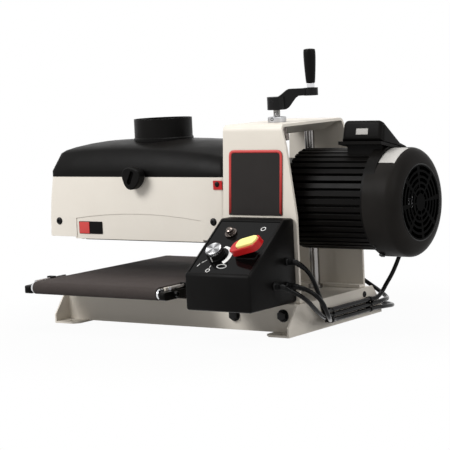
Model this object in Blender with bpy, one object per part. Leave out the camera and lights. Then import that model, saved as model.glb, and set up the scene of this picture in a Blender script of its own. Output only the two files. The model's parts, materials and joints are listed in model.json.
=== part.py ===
"""Open-ended bench-top drum sander, modelled as a jointed assembly. Metres, +Z up.

X runs along the drum: the open outboard end is at -X and the motor at +X.
Stock enters on the -Y side, on the conveyor, and leaves on the +Y side.
The drum's axis is the line Y = 0 while the model is built; at the end the whole
assembly is moved so that its origin is under the middle of its box.
"""
import math

import bmesh
import bpy
from mathutils import Matrix, Vector

# Clearances
GAP = 0.0003              # air between pieces that touch
RUN = 0.0004              # radial clearance of a shaft in its bore
MERGE = 0.000002          # corners closer than this are one corner

# Drum and its height
DRUM_DIAMETER = 0.127     # over the abrasive
DRUM_LENGTH = 0.254
DRUM_GAP = 0.0575         # belt to drum as photographed
DRUM_WALL = 0.008
ABRASIVE = 0.001
LIFT_DOWN = 0.055
LIFT_UP = 0.0185
ARBOR_RADIUS = 0.0095

# Base, folded from sheet
BASE_LENGTH = 0.478
SHEET = 0.003
DECK_HEIGHT = 0.048
DECK_LEDGE = 0.009        # deck in front of the column's legs
END_OVERHANG = 0.034      # end plates past the front and rear walls
END_TOP_RUN = 0.007
END_LIP = 0.015
WALL_LIFT = 0.002
FOOT_WIDTH = 0.048
FOOT_CORNER = 0.010
FOOT_HOLE = 0.009

# Column, an inverted U of plate
COLUMN_X = 0.164
COLUMN_WIDTH = 0.141
COLUMN_DEPTH = 0.200
COLUMN_TOP = 0.331
COLUMN_PLATE = 0.005
COLUMN_BEND = 0.011
TAPER_HEIGHT = 0.185      # the legs' edges lean in above this height
TAPER_LEFT = 0.0075
TAPER_RIGHT = 0.0235
TAPER_REAR = 0.0315       # the same at the rear leg
TOP_RETURN = 0.013
EDGE_SHEET = 0.003
PANEL_WIDTH = 0.102
PANEL_HEIGHT = 0.104
PANEL_SHIFT = -0.0067     # its lower edge beside the column's middle
PANEL_LEAN = 0.0056       # its upper edge beside the lower one
PANEL_SHEET = 0.0012
PANEL_CORNER = 0.010

# Guide posts and lifting screw
POST_DIAMETER = 0.016
POST_FOOT = 0.006
POST_SPACING = 0.133
POST_X = 0.158
SLEEVE_WALL = 0.008
SCREW_Y = -0.028
SCREW_DIAMETER = 0.014
SCREW_NECK = 0.011
BEARING_DIAMETER = 0.030
BEARING_HEIGHT = 0.0085
NUT_DIAMETER = 0.020
NUT_LENGTH = 0.024

# Crank
CRANK_RISE = 0.0111       # bearing to hub
CRANK_HUB = 0.030
CRANK_HUB_HEIGHT = 0.021
CRANK_ARM = 0.0565
CRANK_LIFT = 0.02065      # boss above the hub, underside to underside
CRANK_BOSS = 0.023
CRANK_BOSS_HEIGHT = 0.0126
CRANK_RUN = 0.0223        # length over which the arm rises
CRANK_INSET = 0.0004      # arm's edges inside the faces of hub and boss
CRANK_WIDTH = 0.012
CRANK_ANGLE = 35.0
GRIP_LENGTH = 0.0554
GRIP_TOP = 0.0205
GRIP_BOTTOM = 0.0155
FERRULE_DIAMETER = 0.0125
FERRULE_HEIGHT = 0.0068
PIN_DIAMETER = 0.008

# Head carriage
CARRIAGE_ABOVE = 0.064    # top above the drum's axis
CARRIAGE_BELOW = 0.051
CARRIAGE_DEPTH = 0.164
CARRIAGE_PLATE = 0.009
TUNNEL_RADIUS = 0.019

# Drum housing and dust cover
COLUMN_GAP = 0.002        # housing to column
END_ROOM = 0.0027         # coupling to the inboard end wall
OUTBOARD_ROOM = 0.0272    # outboard bearing to its end wall
BEARING_LENGTH = 0.016    # bearing units on the bulkheads
BEARING_FLANGE = 0.031
BEARING_BARREL = 0.021
HOUSING_DEPTH = 0.176
HOUSING_ABOVE = 0.045     # joint with the cover, above the drum's axis
HOUSING_BELOW = 0.058     # lower edge, below the drum's axis
HOUSING_WALL = 0.004
HOUSING_CORNER = 0.010
END_SWELL = 0.008         # outboard end, joint to lower edge
SIDE_SWELL = 0.003        # front and rear, joint to lower edge
LIP_DROP = 0.0033         # front and rear walls below the ends
LIP_ROOM = 0.004          # lip past the relief's end
BULKHEAD_ROOM = 0.009     # drum end to bulkhead
RELIEF_DEPTH = 0.0012
RELIEF_RISE = 0.009
RELIEF_HEIGHT = 0.032     # relief's ends above the lower edge
COVER_CREASE = 0.0485     # front crease above the joint, at its highest
CREASE_FALL = 0.010       # crease's fall from there over half the length
CREASE_SHIFT = 0.042      # its highest place, outboard of the middle
COVER_CROWN = 0.0595      # ridge above the joint, at its highest
CROWN_FALL = 0.007
COVER_LEAN = 0.017        # front wall leans back to the crease
COVER_WALL = 0.003
PORT_DIAMETER = 0.100
PORT_HEIGHT = 0.0345
PORT_SHIFT = 0.003        # port outboard of the drum's middle
PORT_BEAD = 0.0014
PORT_WALL = 0.0025
HINGE_RADIUS = 0.004
HINGE_PIN = 0.002
HINGE_LENGTH = 0.020
HINGE_LUG = 0.006
HINGE_SPREAD = 0.230
POINTER_WIDTH = 0.0178
POINTER_HEIGHT = 0.0147
POINTER_DROP = 0.0051     # below the joint
POINTER_INSET = 0.0042    # from the housing's inboard end
KNOB_DIAMETER = 0.040
KNOB_DEPTH = 0.017
LATCH_TAB = 0.024
LATCH_SHEET = 0.004
LATCH_SHIFT = 0.006       # latch beside the drum's middle

# Pressure rollers beside the drum
PRESS_DIAMETER = 0.016
PRESS_Y = 0.070
PRESS_DROP = 0.0015       # below the drum
PRESS_JOURNAL = 0.006
HANGER_SHEET = 0.003
HANGER_HEIGHT = 0.031
HANGER_WIDTH = 0.013

# Motor
MOTOR_BODY = 0.172        # face to cowl
MOTOR_FINS = 42
FIN_RADIUS = 0.0765
FIN_ROOT = 0.0685
FIN_LAND = 0.66           # part of the pitch that is fin
END_BELL = 0.016
SHIELD_LENGTH = 0.010
COWL_RADIUS = 0.086
COWL_LENGTH = 0.051
COWL_WALL = 0.002
COWL_ROUND = 0.0175       # length of its rounded end
GRILLE_RADIUS = 0.0585
GRILLE_RIM = 0.001        # flat ring round the outermost slots
GRILLE_HUB = 0.012
GRILLE_RINGS = 5
GRILLE_SPOKES = 8
SPOKE_WIDTH = 0.005
SLOT_STEPS = 3            # straight runs in each slot's arc
SLOT_MARGIN = 0.2         # of a ring's width that stays solid on each side of its slot
COWL_ARC = 4              # steps of the cowl's rounding
ROTOR_RADIUS = 0.044
ROTOR_GAP = 0.0006
FAN_RADIUS = 0.066
FAN_BLADES = 7
FAN_LENGTH = 0.022
COUPLING_RADIUS = 0.0175
COUPLING_LENGTH = 0.019
BOX_LENGTH = 0.0725       # terminal box on the motor
BOX_DEPTH = 0.066
BOX_HEIGHT = 0.036
BOX_FLOOR = 0.0935        # above the motor's axis
BOX_Y = -0.013
BOX_FLANGE = 0.005
BOX_LEAN = 0.004          # lid's left side leans in
BOX_BACK = 0.007          # lid's front leans back
BOX_FALL = 0.0135         # flange's fall to the rear
BOX_REAR = 0.004          # lid's height at the rear
BOX_X = 0.3258
BOX_ROUND = 0.006         # lid's edges
BOX_NECK = 0.007          # neck inside the flange's outline
SEAT_SIDES = 48           # facets of the seats cut to the motor's round

# Conveyor
BELT_WIDTH = 0.258
BELT_TOP = 0.080
BELT = 0.0012
ROLLER_DIAMETER = 0.0178
JOURNAL_DIAMETER = 0.008
CONVEYOR_FRONT = 0.206    # idler axis in front of the drum's axis
CONVEYOR_REAR = 0.155     # drive roller axis behind it
BED_PLATE = 0.0025
BED_SIDE = 0.003
BED_ROOM = 0.002          # belt edge to bed side
TAKEUP_LENGTH = 0.076
TAKEUP_WIDTH = 0.014
TAKEUP_HEIGHT = 0.0185
TAKEUP_ROD = 0.006
GEARBOX = 0.050
GEARBOX_WIDTH = 0.036
FEED_CAN = 0.042
FEED_LENGTH = 0.062

# Control box
CONTROL_X = 0.1685
CONTROL_WIDTH = 0.123
CONTROL_DEPTH = 0.130
CONTROL_BOTTOM = 0.051
CONTROL_FRONT = 0.057     # height of its front face
CONTROL_HEIGHT = 0.133
CONTROL_SHELF = 0.027     # flat top behind the sloped panel
CONTROL_RIM = 0.0055
CONTROL_RECESS = 0.003
PLATE = 0.0015
DIAL_DIAMETER = 0.030
DIAL_HEIGHT = 0.0155
DIAL_CAP = 0.0015
DIAL_PLACE = (-0.022, 0.043)    # on the sloped panel: along it, up it
PADDLE_LENGTH = 0.061
PADDLE_WIDTH = 0.027
PADDLE_THICK = 0.012
PADDLE_TILT = 17.0
PADDLE_PLACE = (0.033, 0.0505)
PEDESTAL = 0.0015
PEDESTAL_SHARE = 0.6      # of the paddle's length that stands on the pedestal
KEY_LENGTH = 0.043
KEY_WIDTH = 0.019
KEY_THICK = 0.009
RESET_DIAMETER = 0.0115
RESET_PLACE = (-0.022, 0.094)

# Cords
CORD = 0.0072
CORD_LIE = 0.0012         # air between the leads and the end plate
GLAND_DIAMETER = 0.013
GLAND_LENGTH = 0.008
COIL_LOOPS = 4
COIL_OUTER = 0.048        # radius of the outer loops' centre line
COIL_PITCH = 0.0082
COIL_STEPS = 20           # points round a loop
COIL_LAYER = 0.0081       # one layer above the other
COIL_CENTRE = (0.095, 0.172)
TAIL_LENGTH = 0.046       # coil to plug
TAIL_STEPS = 4
PLUG_LENGTH = 0.036
PLUG_WIDTH = 0.026
PLUG_HEIGHT = 0.020
BLADE_LENGTH = 0.018
BLADE_SPACING = 0.0128
BLADE_WIDTH = 0.0064
BLADE_THICK = 0.0015
EARTH_DIAMETER = 0.0048
EARTH_EXTRA = 0.003       # earth pin past the blades

# Heights and places that follow from the sizes above
AXIS_Z = BELT_TOP + DRUM_GAP + DRUM_DIAMETER / 2
JOINT_Z = AXIS_Z + HOUSING_ABOVE
SKIRT_Z = AXIS_Z - HOUSING_BELOW
LEG_Y = COLUMN_DEPTH / 2
DECK_Y = LEG_Y + DECK_LEDGE
BASE_Y = DECK_Y + END_OVERHANG
BASE_X = BASE_LENGTH / 2
COLUMN_LEFT = COLUMN_X - COLUMN_WIDTH / 2
COLUMN_RIGHT = COLUMN_X + COLUMN_WIDTH / 2
CHAMBER = DRUM_LENGTH / 2 + BULKHEAD_ROOM
BEARING_FACE = CHAMBER + HOUSING_WALL + GAP
BEARING_END = BEARING_FACE + BEARING_LENGTH
COUPLING_LOW = BEARING_END + SHEET / 2
HOUSING_RIGHT = COLUMN_LEFT - COLUMN_GAP
DRUM_CENTRE_X = HOUSING_RIGHT - HOUSING_WALL - END_ROOM - COUPLING_LENGTH - COUPLING_LOW
HOUSING_LEFT = DRUM_CENTRE_X - BEARING_END - OUTBOARD_ROOM - HOUSING_WALL
LIP_SPAN = CHAMBER - HOUSING_WALL + LIP_ROOM
SLEEVE_RADIUS = POST_DIAMETER / 2 + SLEEVE_WALL
CARRIAGE_LEFT = HOUSING_RIGHT + GAP
POST_COLLAR = POST_DIAMETER / 2 + SLEEVE_WALL / 2
LEG_FOOT = LEG_Y - COLUMN_PLATE - POST_SPACING / 2 - POST_COLLAR - SHEET
MOTOR_FACE = POST_X + SLEEVE_RADIUS + SLEEVE_WALL / 2
COWL_X = MOTOR_FACE + MOTOR_BODY
INLET_X = BOX_X - 2 * BOX_FLANGE
INLET_Z = AXIS_Z + BOX_FLOOR - BOX_FALL
GRILLE_SECTOR = math.tau / GRILLE_SPOKES
SPOKE_ANGLE = 2 * SPOKE_WIDTH / (GRILLE_RADIUS + GRILLE_HUB)
SLOT_STEP = (GRILLE_SECTOR - SPOKE_ANGLE) / SLOT_STEPS
HINGE_Y = HOUSING_DEPTH / 2 + HINGE_RADIUS + HOUSING_WALL / 2
PRESS_Z = AXIS_Z - DRUM_DIAMETER / 2 - PRESS_DROP + PRESS_DIAMETER / 2
ROLLER_Z = BELT_TOP - BELT - ROLLER_DIAMETER / 2
BED_OUTER = BELT_WIDTH / 2 + BED_ROOM + BED_SIDE
BED_TOP = BELT_TOP - BELT - GAP
CONTROL_BACK = -LEG_Y - GAP
CONTROL_NOSE = CONTROL_BACK - CONTROL_DEPTH
CONTROL_SIDE = CONTROL_X + CONTROL_WIDTH / 2
SCREW_AXIS = Vector((POST_X, SCREW_Y, 0.0))
HUB_Z = COLUMN_TOP + GAP + BEARING_HEIGHT + CRANK_RISE
BOSS_Z = HUB_Z + CRANK_LIFT
GRIP_AXIS = SCREW_AXIS + CRANK_ARM * Vector((math.cos(math.radians(CRANK_ANGLE)),
                                             math.sin(math.radians(CRANK_ANGLE)), 0.0))
PANEL_LOW = Vector((CONTROL_X, CONTROL_NOSE, CONTROL_BOTTOM + CONTROL_FRONT))
PANEL_HIGH = Vector((CONTROL_X, CONTROL_BACK - CONTROL_SHELF, CONTROL_BOTTOM + CONTROL_HEIGHT))
PANEL_SLOPE = (PANEL_HIGH - PANEL_LOW).length
PANEL_ALONG = Vector((1.0, 0.0, 0.0))
PANEL_UP = (PANEL_HIGH - PANEL_LOW).normalized()
PANEL_TURN = Matrix((PANEL_ALONG, PANEL_UP, PANEL_ALONG.cross(PANEL_UP))).transposed().to_4x4()
PANEL_FRAME = Matrix.Translation(PANEL_LOW) @ PANEL_TURN
PLATE_FACE = -CONTROL_RECESS + GAP + PLATE
PADDLE_HINGE = (PADDLE_PLACE[0] - PADDLE_LENGTH * PEDESTAL_SHARE / 2, PADDLE_PLACE[1],
                PLATE_FACE + PEDESTAL + 2 * GAP)

PAINTS = {
    "cream": ((0.78, 0.72, 0.62), 0.42, 0.0),
    "black": ((0.012, 0.012, 0.013), 0.40, 0.0),
    "rubber": ((0.02, 0.02, 0.02), 0.75, 0.0),
    "belt": ((0.065, 0.055, 0.050), 0.95, 0.0),
    "grit": ((0.16, 0.07, 0.03), 0.95, 0.0),
    "steel": ((0.55, 0.55, 0.56), 0.32, 1.0),
    "chrome": ((0.78, 0.78, 0.80), 0.12, 1.0),
    "aluminium": ((0.66, 0.67, 0.68), 0.38, 1.0),
    "bronze": ((0.55, 0.36, 0.15), 0.40, 1.0),
    "charcoal": ((0.03, 0.028, 0.028), 0.50, 0.0),
    "red": ((0.62, 0.02, 0.02), 0.38, 0.0),
    "yellow": ((0.85, 0.62, 0.12), 0.45, 0.0),
}
CORD_NODES = ("mains_cord", "mains_coil", "mains_plug")


def clear_scene():
    for item in list(bpy.data.objects):
        bpy.data.objects.remove(item, do_unlink=True)


def paint(name):
    found = bpy.data.materials.get(name)
    if found:
        return found
    colour, roughness, metallic = PAINTS[name]
    made = bpy.data.materials.new(name)
    made.use_nodes = True
    shader = made.node_tree.nodes["Principled BSDF"]
    shader.inputs["Base Color"].default_value = (*colour, 1.0)
    shader.inputs["Roughness"].default_value = roughness
    shader.inputs["Metallic"].default_value = metallic
    made.diffuse_color = (*colour, 1.0)
    return made


class Body:
    """One moving group: an empty on its joint's axis that carries its pieces."""

    def __init__(self, name, pivot, parent=None):
        self.pivot = Vector(pivot)
        self.empty = bpy.data.objects.new("body_" + name, None)
        bpy.context.scene.collection.objects.link(self.empty)
        if parent:
            self.empty.parent = parent.empty
            self.empty.location = self.pivot - parent.pivot
        else:
            self.empty.location = self.pivot

    def add(self, name, shape, colour, bevel=0.0, segments=2):
        """Make the named piece from a mesh built in the assembly's frame."""
        bmesh.ops.translate(shape, vec=-self.pivot, verts=shape.verts)
        mesh = bpy.data.meshes.new(name)
        shape.to_mesh(mesh)
        shape.free()
        mesh.shade_smooth()
        mesh.set_sharp_from_angle(angle=math.radians(32))
        made = bpy.data.objects.new(name, mesh)
        made.data.materials.append(paint(colour))
        bpy.context.scene.collection.objects.link(made)
        made.parent = self.empty
        if bevel:
            rounding = made.modifiers.new("rounded edges", "BEVEL")
            rounding.width = bevel
            rounding.segments = segments
            rounding.limit_method = "ANGLE"
            rounding.angle_limit = math.radians(40)
            rounding.use_clamp_overlap = True
        return made


def along(axis):
    """Matrix that turns +Z to the named axis, keeping a right-handed frame."""
    if axis == "X":
        return Matrix(((0, 0, 1), (1, 0, 0), (0, 1, 0))).to_4x4()
    if axis == "Y":
        return Matrix(((0, 1, 0), (0, 0, 1), (1, 0, 0))).to_4x4()
    return Matrix.Identity(4)


def moved(shape, matrix):
    bmesh.ops.transform(shape, matrix=matrix, verts=shape.verts)
    return shape


def outward(shape):
    bmesh.ops.recalc_face_normals(shape, faces=shape.faces)
    return shape


def prism(outline, axis, low, high):
    """A flat outline pushed along an axis. Outlines are (y, z), (x, z) or (x, y)."""
    place = {"X": lambda u, v, w: (w, u, v),
             "Y": lambda u, v, w: (u, w, v),
             "Z": lambda u, v, w: (u, v, w)}[axis]
    shape = bmesh.new()
    near = [shape.verts.new(place(u, v, low)) for u, v in outline]
    far = [shape.verts.new(place(u, v, high)) for u, v in outline]
    shape.faces.new(near)
    shape.faces.new(far)
    for here in range(len(outline)):
        ahead = (here + 1) % len(outline)
        shape.faces.new((near[here], near[ahead], far[ahead], far[here]))
    return outward(shape)


def rectangle(u_low, v_low, u_high, v_high):
    return [(u_low, v_low), (u_high, v_low), (u_high, v_high), (u_low, v_high)]


def block(low, high):
    return prism(rectangle(low[0], low[1], high[0], high[1]), "Z", low[2], high[2])


def rounded(points, radius, steps=4):
    """The outline with arcs at its corners; radius is one size or one for each corner."""
    count = len(points)
    radii = radius if isinstance(radius, (list, tuple)) else [radius] * count
    outline = []
    for index in range(count):
        corner = Vector(points[index])
        back = Vector(points[index - 1]) - corner
        ahead = Vector(points[(index + 1) % count]) - corner
        angle = back.angle(ahead)
        reach = radii[index] / math.tan(angle / 2) if radii[index] else 0.0
        reach = min(reach, 0.49 * back.length, 0.49 * ahead.length)
        if reach < 1e-6:
            outline.append(tuple(corner))
            continue
        start = corner + back.normalized() * reach
        end = corner + ahead.normalized() * reach
        for step in range(steps + 1):
            share = step / steps
            middle = start.lerp(corner, share).lerp(corner.lerp(end, share), share)
            outline.append(tuple(middle))
    return outline


def circle(radius, sides, centre=(0.0, 0.0), start=0.0):
    return [(centre[0] + radius * math.cos(start + math.tau * k / sides),
             centre[1] + radius * math.sin(start + math.tau * k / sides)) for k in range(sides)]


def turned(profile, sides, axis="Z", origin=(0.0, 0.0, 0.0)):
    """A closed profile of (radius, height) turned round an axis through the origin given."""
    shape = bmesh.new()
    rings = []
    for radius, height in profile:
        if radius < 1e-7:
            rings.append([shape.verts.new((0.0, 0.0, height))])
        else:
            rings.append([shape.verts.new((u, v, height)) for u, v in circle(radius, sides)])
    for index, ring in enumerate(rings):
        following = rings[(index + 1) % len(rings)]
        for k in range(sides):
            ahead = (k + 1) % sides
            if len(ring) == 1 and len(following) == 1:
                break
            if len(ring) == 1:
                shape.faces.new((ring[0], following[k], following[ahead]))
            elif len(following) == 1:
                shape.faces.new((ring[k], ring[ahead], following[0]))
            else:
                shape.faces.new((ring[k], ring[ahead], following[ahead], following[k]))
    moved(shape, Matrix.Translation(origin) @ along(axis))
    return outward(shape)


def rod(radius, low, high, sides=24, axis="Z", origin=(0.0, 0.0, 0.0)):
    return turned([(0.0, low), (radius, low), (radius, high), (0.0, high)], sides, axis, origin)


def ring(outer, inner, low, high, sides=32, axis="Z", origin=(0.0, 0.0, 0.0)):
    return turned([(inner, low), (outer, low), (outer, high), (inner, high)], sides, axis, origin)


def soften(shape, width, segments):
    """Round the edges where faces meet at more than forty degrees."""
    sharp = [edge for edge in shape.edges if edge.calc_face_angle(0.0) > math.radians(40)]
    bmesh.ops.bevel(shape, geom=sharp, offset=width, segments=segments, profile=0.5, affect="EDGES",
                    clamp_overlap=True)
    return shape


def combine(shape, others, operation):
    """Join, cut or intersect meshes one after another and give back one mesh."""
    for other in others:
        helpers = []
        for each in (shape, other):
            mesh = bpy.data.meshes.new("working")
            each.to_mesh(mesh)
            each.free()
            helper = bpy.data.objects.new("working", mesh)
            bpy.context.scene.collection.objects.link(helper)
            helpers.append(helper)
        modifier = helpers[0].modifiers.new(operation, "BOOLEAN")
        modifier.operation = operation
        modifier.object = helpers[1]
        graph = bpy.context.evaluated_depsgraph_get()
        mesh = bpy.data.meshes.new_from_object(helpers[0].evaluated_get(graph))
        shape = bmesh.new()
        shape.from_mesh(mesh)
        bmesh.ops.remove_doubles(shape, verts=shape.verts, dist=MERGE)
        bmesh.ops.dissolve_degenerate(shape, edges=shape.edges, dist=MERGE)
        for helper in helpers:
            bpy.data.objects.remove(helper, do_unlink=True)
    return shape


def fuse(shape, *others):
    return combine(shape, others, "UNION")


def cut(shape, *others):
    return combine(shape, others, "DIFFERENCE")


def smooth_route(points, spacing):
    """Evenly spaced points on a Catmull-Rom curve; its first and last stretches stay straight."""
    knots = [Vector(point) for point in points]
    fine = []
    for index in range(1, len(knots) - 2):
        a, b, c, d = knots[index - 1:index + 3]
        for step in range(24):
            t = step / 24
            fine.append(0.5 * (2 * b + (c - a) * t + (2 * a - 5 * b + 4 * c - d) * t * t
                               + (3 * b - a - 3 * c + d) * t ** 3))
    fine.append(knots[-2])
    lengths = [0.0]
    for here, ahead in zip(fine, fine[1:]):
        lengths.append(lengths[-1] + (ahead - here).length)
    count = max(4, round(lengths[-1] / spacing))
    route = [knots[0]]
    index = 0
    for k in range(count + 1):
        wanted = lengths[-1] * k / count
        while index < len(fine) - 2 and lengths[index + 1] < wanted:
            index += 1
        share = (wanted - lengths[index]) / max(lengths[index + 1] - lengths[index], 1e-9)
        route.append(fine[index].lerp(fine[index + 1], share))
    route.append(knots[-1])
    ends = (knots[0] - knots[1]).length + (knots[-1] - knots[-2]).length
    return route, lengths[-1] + ends


def tube(name, route, diameter, body, sides_level):
    """A cord: a round tube along the route, closed at both ends."""
    curve = bpy.data.curves.new(name, "CURVE")
    curve.dimensions = "3D"
    curve.bevel_depth = diameter / 2
    curve.bevel_resolution = sides_level
    curve.use_fill_caps = True
    spline = curve.splines.new("POLY")
    spline.points.add(len(route) - 1)
    for point, place in zip(spline.points, route):
        point.co = (*(place - body.pivot), 1.0)
    made = bpy.data.objects.new(name, curve)
    curve.materials.append(paint("rubber"))
    bpy.context.scene.collection.objects.link(made)
    made.parent = body.empty
    return made


def base_frame(root):
    """Deck, walls, end plates and inward foot flanges, folded from one sheet."""
    deck = block((-BASE_X, -DECK_Y, DECK_HEIGHT - SHEET), (BASE_X, DECK_Y, DECK_HEIGHT))
    walls = [block((-BASE_X, min(side * DECK_Y, side * (DECK_Y - SHEET)), WALL_LIFT),
                   (BASE_X, max(side * DECK_Y, side * (DECK_Y - SHEET)), DECK_HEIGHT)) for side in (-1, 1)]
    top_y = DECK_Y + END_TOP_RUN
    end_outline = [(-BASE_Y, 0.0), (BASE_Y, 0.0), (BASE_Y, END_LIP), (top_y, DECK_HEIGHT),
                   (-top_y, DECK_HEIGHT), (-BASE_Y, END_LIP)]
    ends = [prism(end_outline, "X", side * BASE_X - SHEET * (side > 0), side * BASE_X + SHEET * (side < 0))
            for side in (-1, 1)]
    feet = []
    holes = []
    for side in (-1, 1):
        inner = side * (BASE_X - FOOT_WIDTH)
        outer = side * BASE_X
        outline = [(outer, -BASE_Y), (inner + side * FOOT_CORNER, -BASE_Y), (inner, -BASE_Y + FOOT_CORNER),
                   (inner, BASE_Y - FOOT_CORNER), (inner + side * FOOT_CORNER, BASE_Y), (outer, BASE_Y)]
        feet.append(prism(outline, "Z", 0.0, SHEET))
        for end in (-1, 1):
            centre = ((inner + outer) / 2, end * (DECK_Y + END_OVERHANG / 2), 0.0)
            holes.append(rod(FOOT_HOLE / 2, -SHEET, 2 * SHEET, 16, "Z", centre))
    shape = cut(fuse(deck, *walls, *ends, *feet), *holes)
    root.add("base_frame", shape, "cream")


def column_frame(root):
    """Inverted U of plate whose edges lean in above a height, with a return under the top on the motor side."""
    foot = DECK_HEIGHT + GAP
    inner = LEG_Y - COLUMN_PLATE
    under = COLUMN_TOP - COLUMN_PLATE
    outside = rounded([(-LEG_Y, foot), (-LEG_Y, COLUMN_TOP), (LEG_Y, COLUMN_TOP), (LEG_Y, foot)],
                      [0.0, COLUMN_BEND, COLUMN_BEND, 0.0])
    inside = rounded([(inner, foot), (inner, under), (-inner, under), (-inner, foot)],
                     [0.0, COLUMN_BEND - COLUMN_PLATE, COLUMN_BEND - COLUMN_PLATE, 0.0])
    bent = prism(outside + inside, "X", COLUMN_LEFT - SHEET, COLUMN_RIGHT + SHEET)
    top_left = COLUMN_LEFT + TAPER_LEFT

    def top_right(y):
        return COLUMN_RIGHT - TAPER_RIGHT + (TAPER_RIGHT - TAPER_REAR) * (y + LEG_Y) / COLUMN_DEPTH

    mould = bmesh.new()
    ends = []
    for y in (-COLUMN_DEPTH, COLUMN_DEPTH):
        outline = [(COLUMN_LEFT, foot - SHEET), (COLUMN_RIGHT, foot - SHEET), (COLUMN_RIGHT, TAPER_HEIGHT),
                   (top_right(y), COLUMN_TOP + SHEET), (top_left, COLUMN_TOP + SHEET), (COLUMN_LEFT, TAPER_HEIGHT)]
        ends.append([mould.verts.new((x, y, z)) for x, z in outline])
    skin(mould, ends)
    for end in ends:
        mould.faces.new(end)
    bmesh.ops.triangulate(mould, faces=mould.faces[:])
    shape = combine(bent, [outward(mould)], "INTERSECT")
    along_y = inner - COLUMN_BEND
    edge = [(top_right(y) - depth, y) for y, depth in ((-along_y, 0.0), (along_y, 0.0), (along_y, EDGE_SHEET),
                                                       (-along_y, EDGE_SHEET))]
    returns = [prism(edge, "Z", under - TOP_RETURN, under + COLUMN_PLATE / 2)]
    for side in (-1, 1):
        near = side * (inner + COLUMN_PLATE / 2)
        toe = side * (inner - LEG_FOOT)
        returns.append(block((COLUMN_LEFT, min(near, toe), foot),
                             (COLUMN_RIGHT, max(near, toe), foot + COLUMN_PLATE)))
    hole = rod(SCREW_NECK / 2 + 2 * RUN, under - SHEET, COLUMN_TOP + SHEET, 20, "Z", SCREW_AXIS)
    root.add("column_frame", cut(fuse(shape, *returns), hole), "cream")

    low = CONTROL_BOTTOM + CONTROL_HEIGHT + SHEET
    left = COLUMN_X + PANEL_SHIFT - PANEL_WIDTH / 2
    right = left + PANEL_WIDTH
    outline = rounded([(left, low), (right, low), (right + PANEL_LEAN, low + PANEL_HEIGHT),
                       (left + PANEL_LEAN, low + PANEL_HEIGHT)], [0.0, 0.0, PANEL_CORNER, PANEL_CORNER])
    root.add("column_panel", prism(outline, "Y", -LEG_Y - GAP - PANEL_SHEET, -LEG_Y - GAP), "charcoal")


def guides(root):
    """Posts that the head slides on, and the lifting screw's bearing on the column's top."""
    foot = DECK_HEIGHT + GAP
    top = COLUMN_TOP - COLUMN_PLATE - GAP
    radius = POST_DIAMETER / 2
    collar = POST_COLLAR
    for name, side in (("guide_post_front", -1), ("guide_post_rear", 1)):
        profile = [(0.0, foot), (collar, foot), (collar, foot + POST_FOOT), (radius, foot + POST_FOOT),
                   (radius, top), (0.0, top)]
        root.add(name, turned(profile, 24, "Z", (POST_X, side * POST_SPACING / 2, 0.0)), "chrome")
    low = COLUMN_TOP + GAP
    chamfer = BEARING_HEIGHT / 8
    outer = BEARING_DIAMETER / 2
    bore = SCREW_NECK / 2 + RUN
    profile = [(bore, low), (outer, low), (outer, low + BEARING_HEIGHT - chamfer),
               (outer - chamfer, low + BEARING_HEIGHT), (bore, low + BEARING_HEIGHT)]
    root.add("screw_bearing", turned(profile, 28, "Z", SCREW_AXIS), "steel")


def ease(share):
    """Smooth step from 0 to 1."""
    held = min(1.0, max(0.0, share))
    return held * held * (3 - 2 * held)


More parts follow.
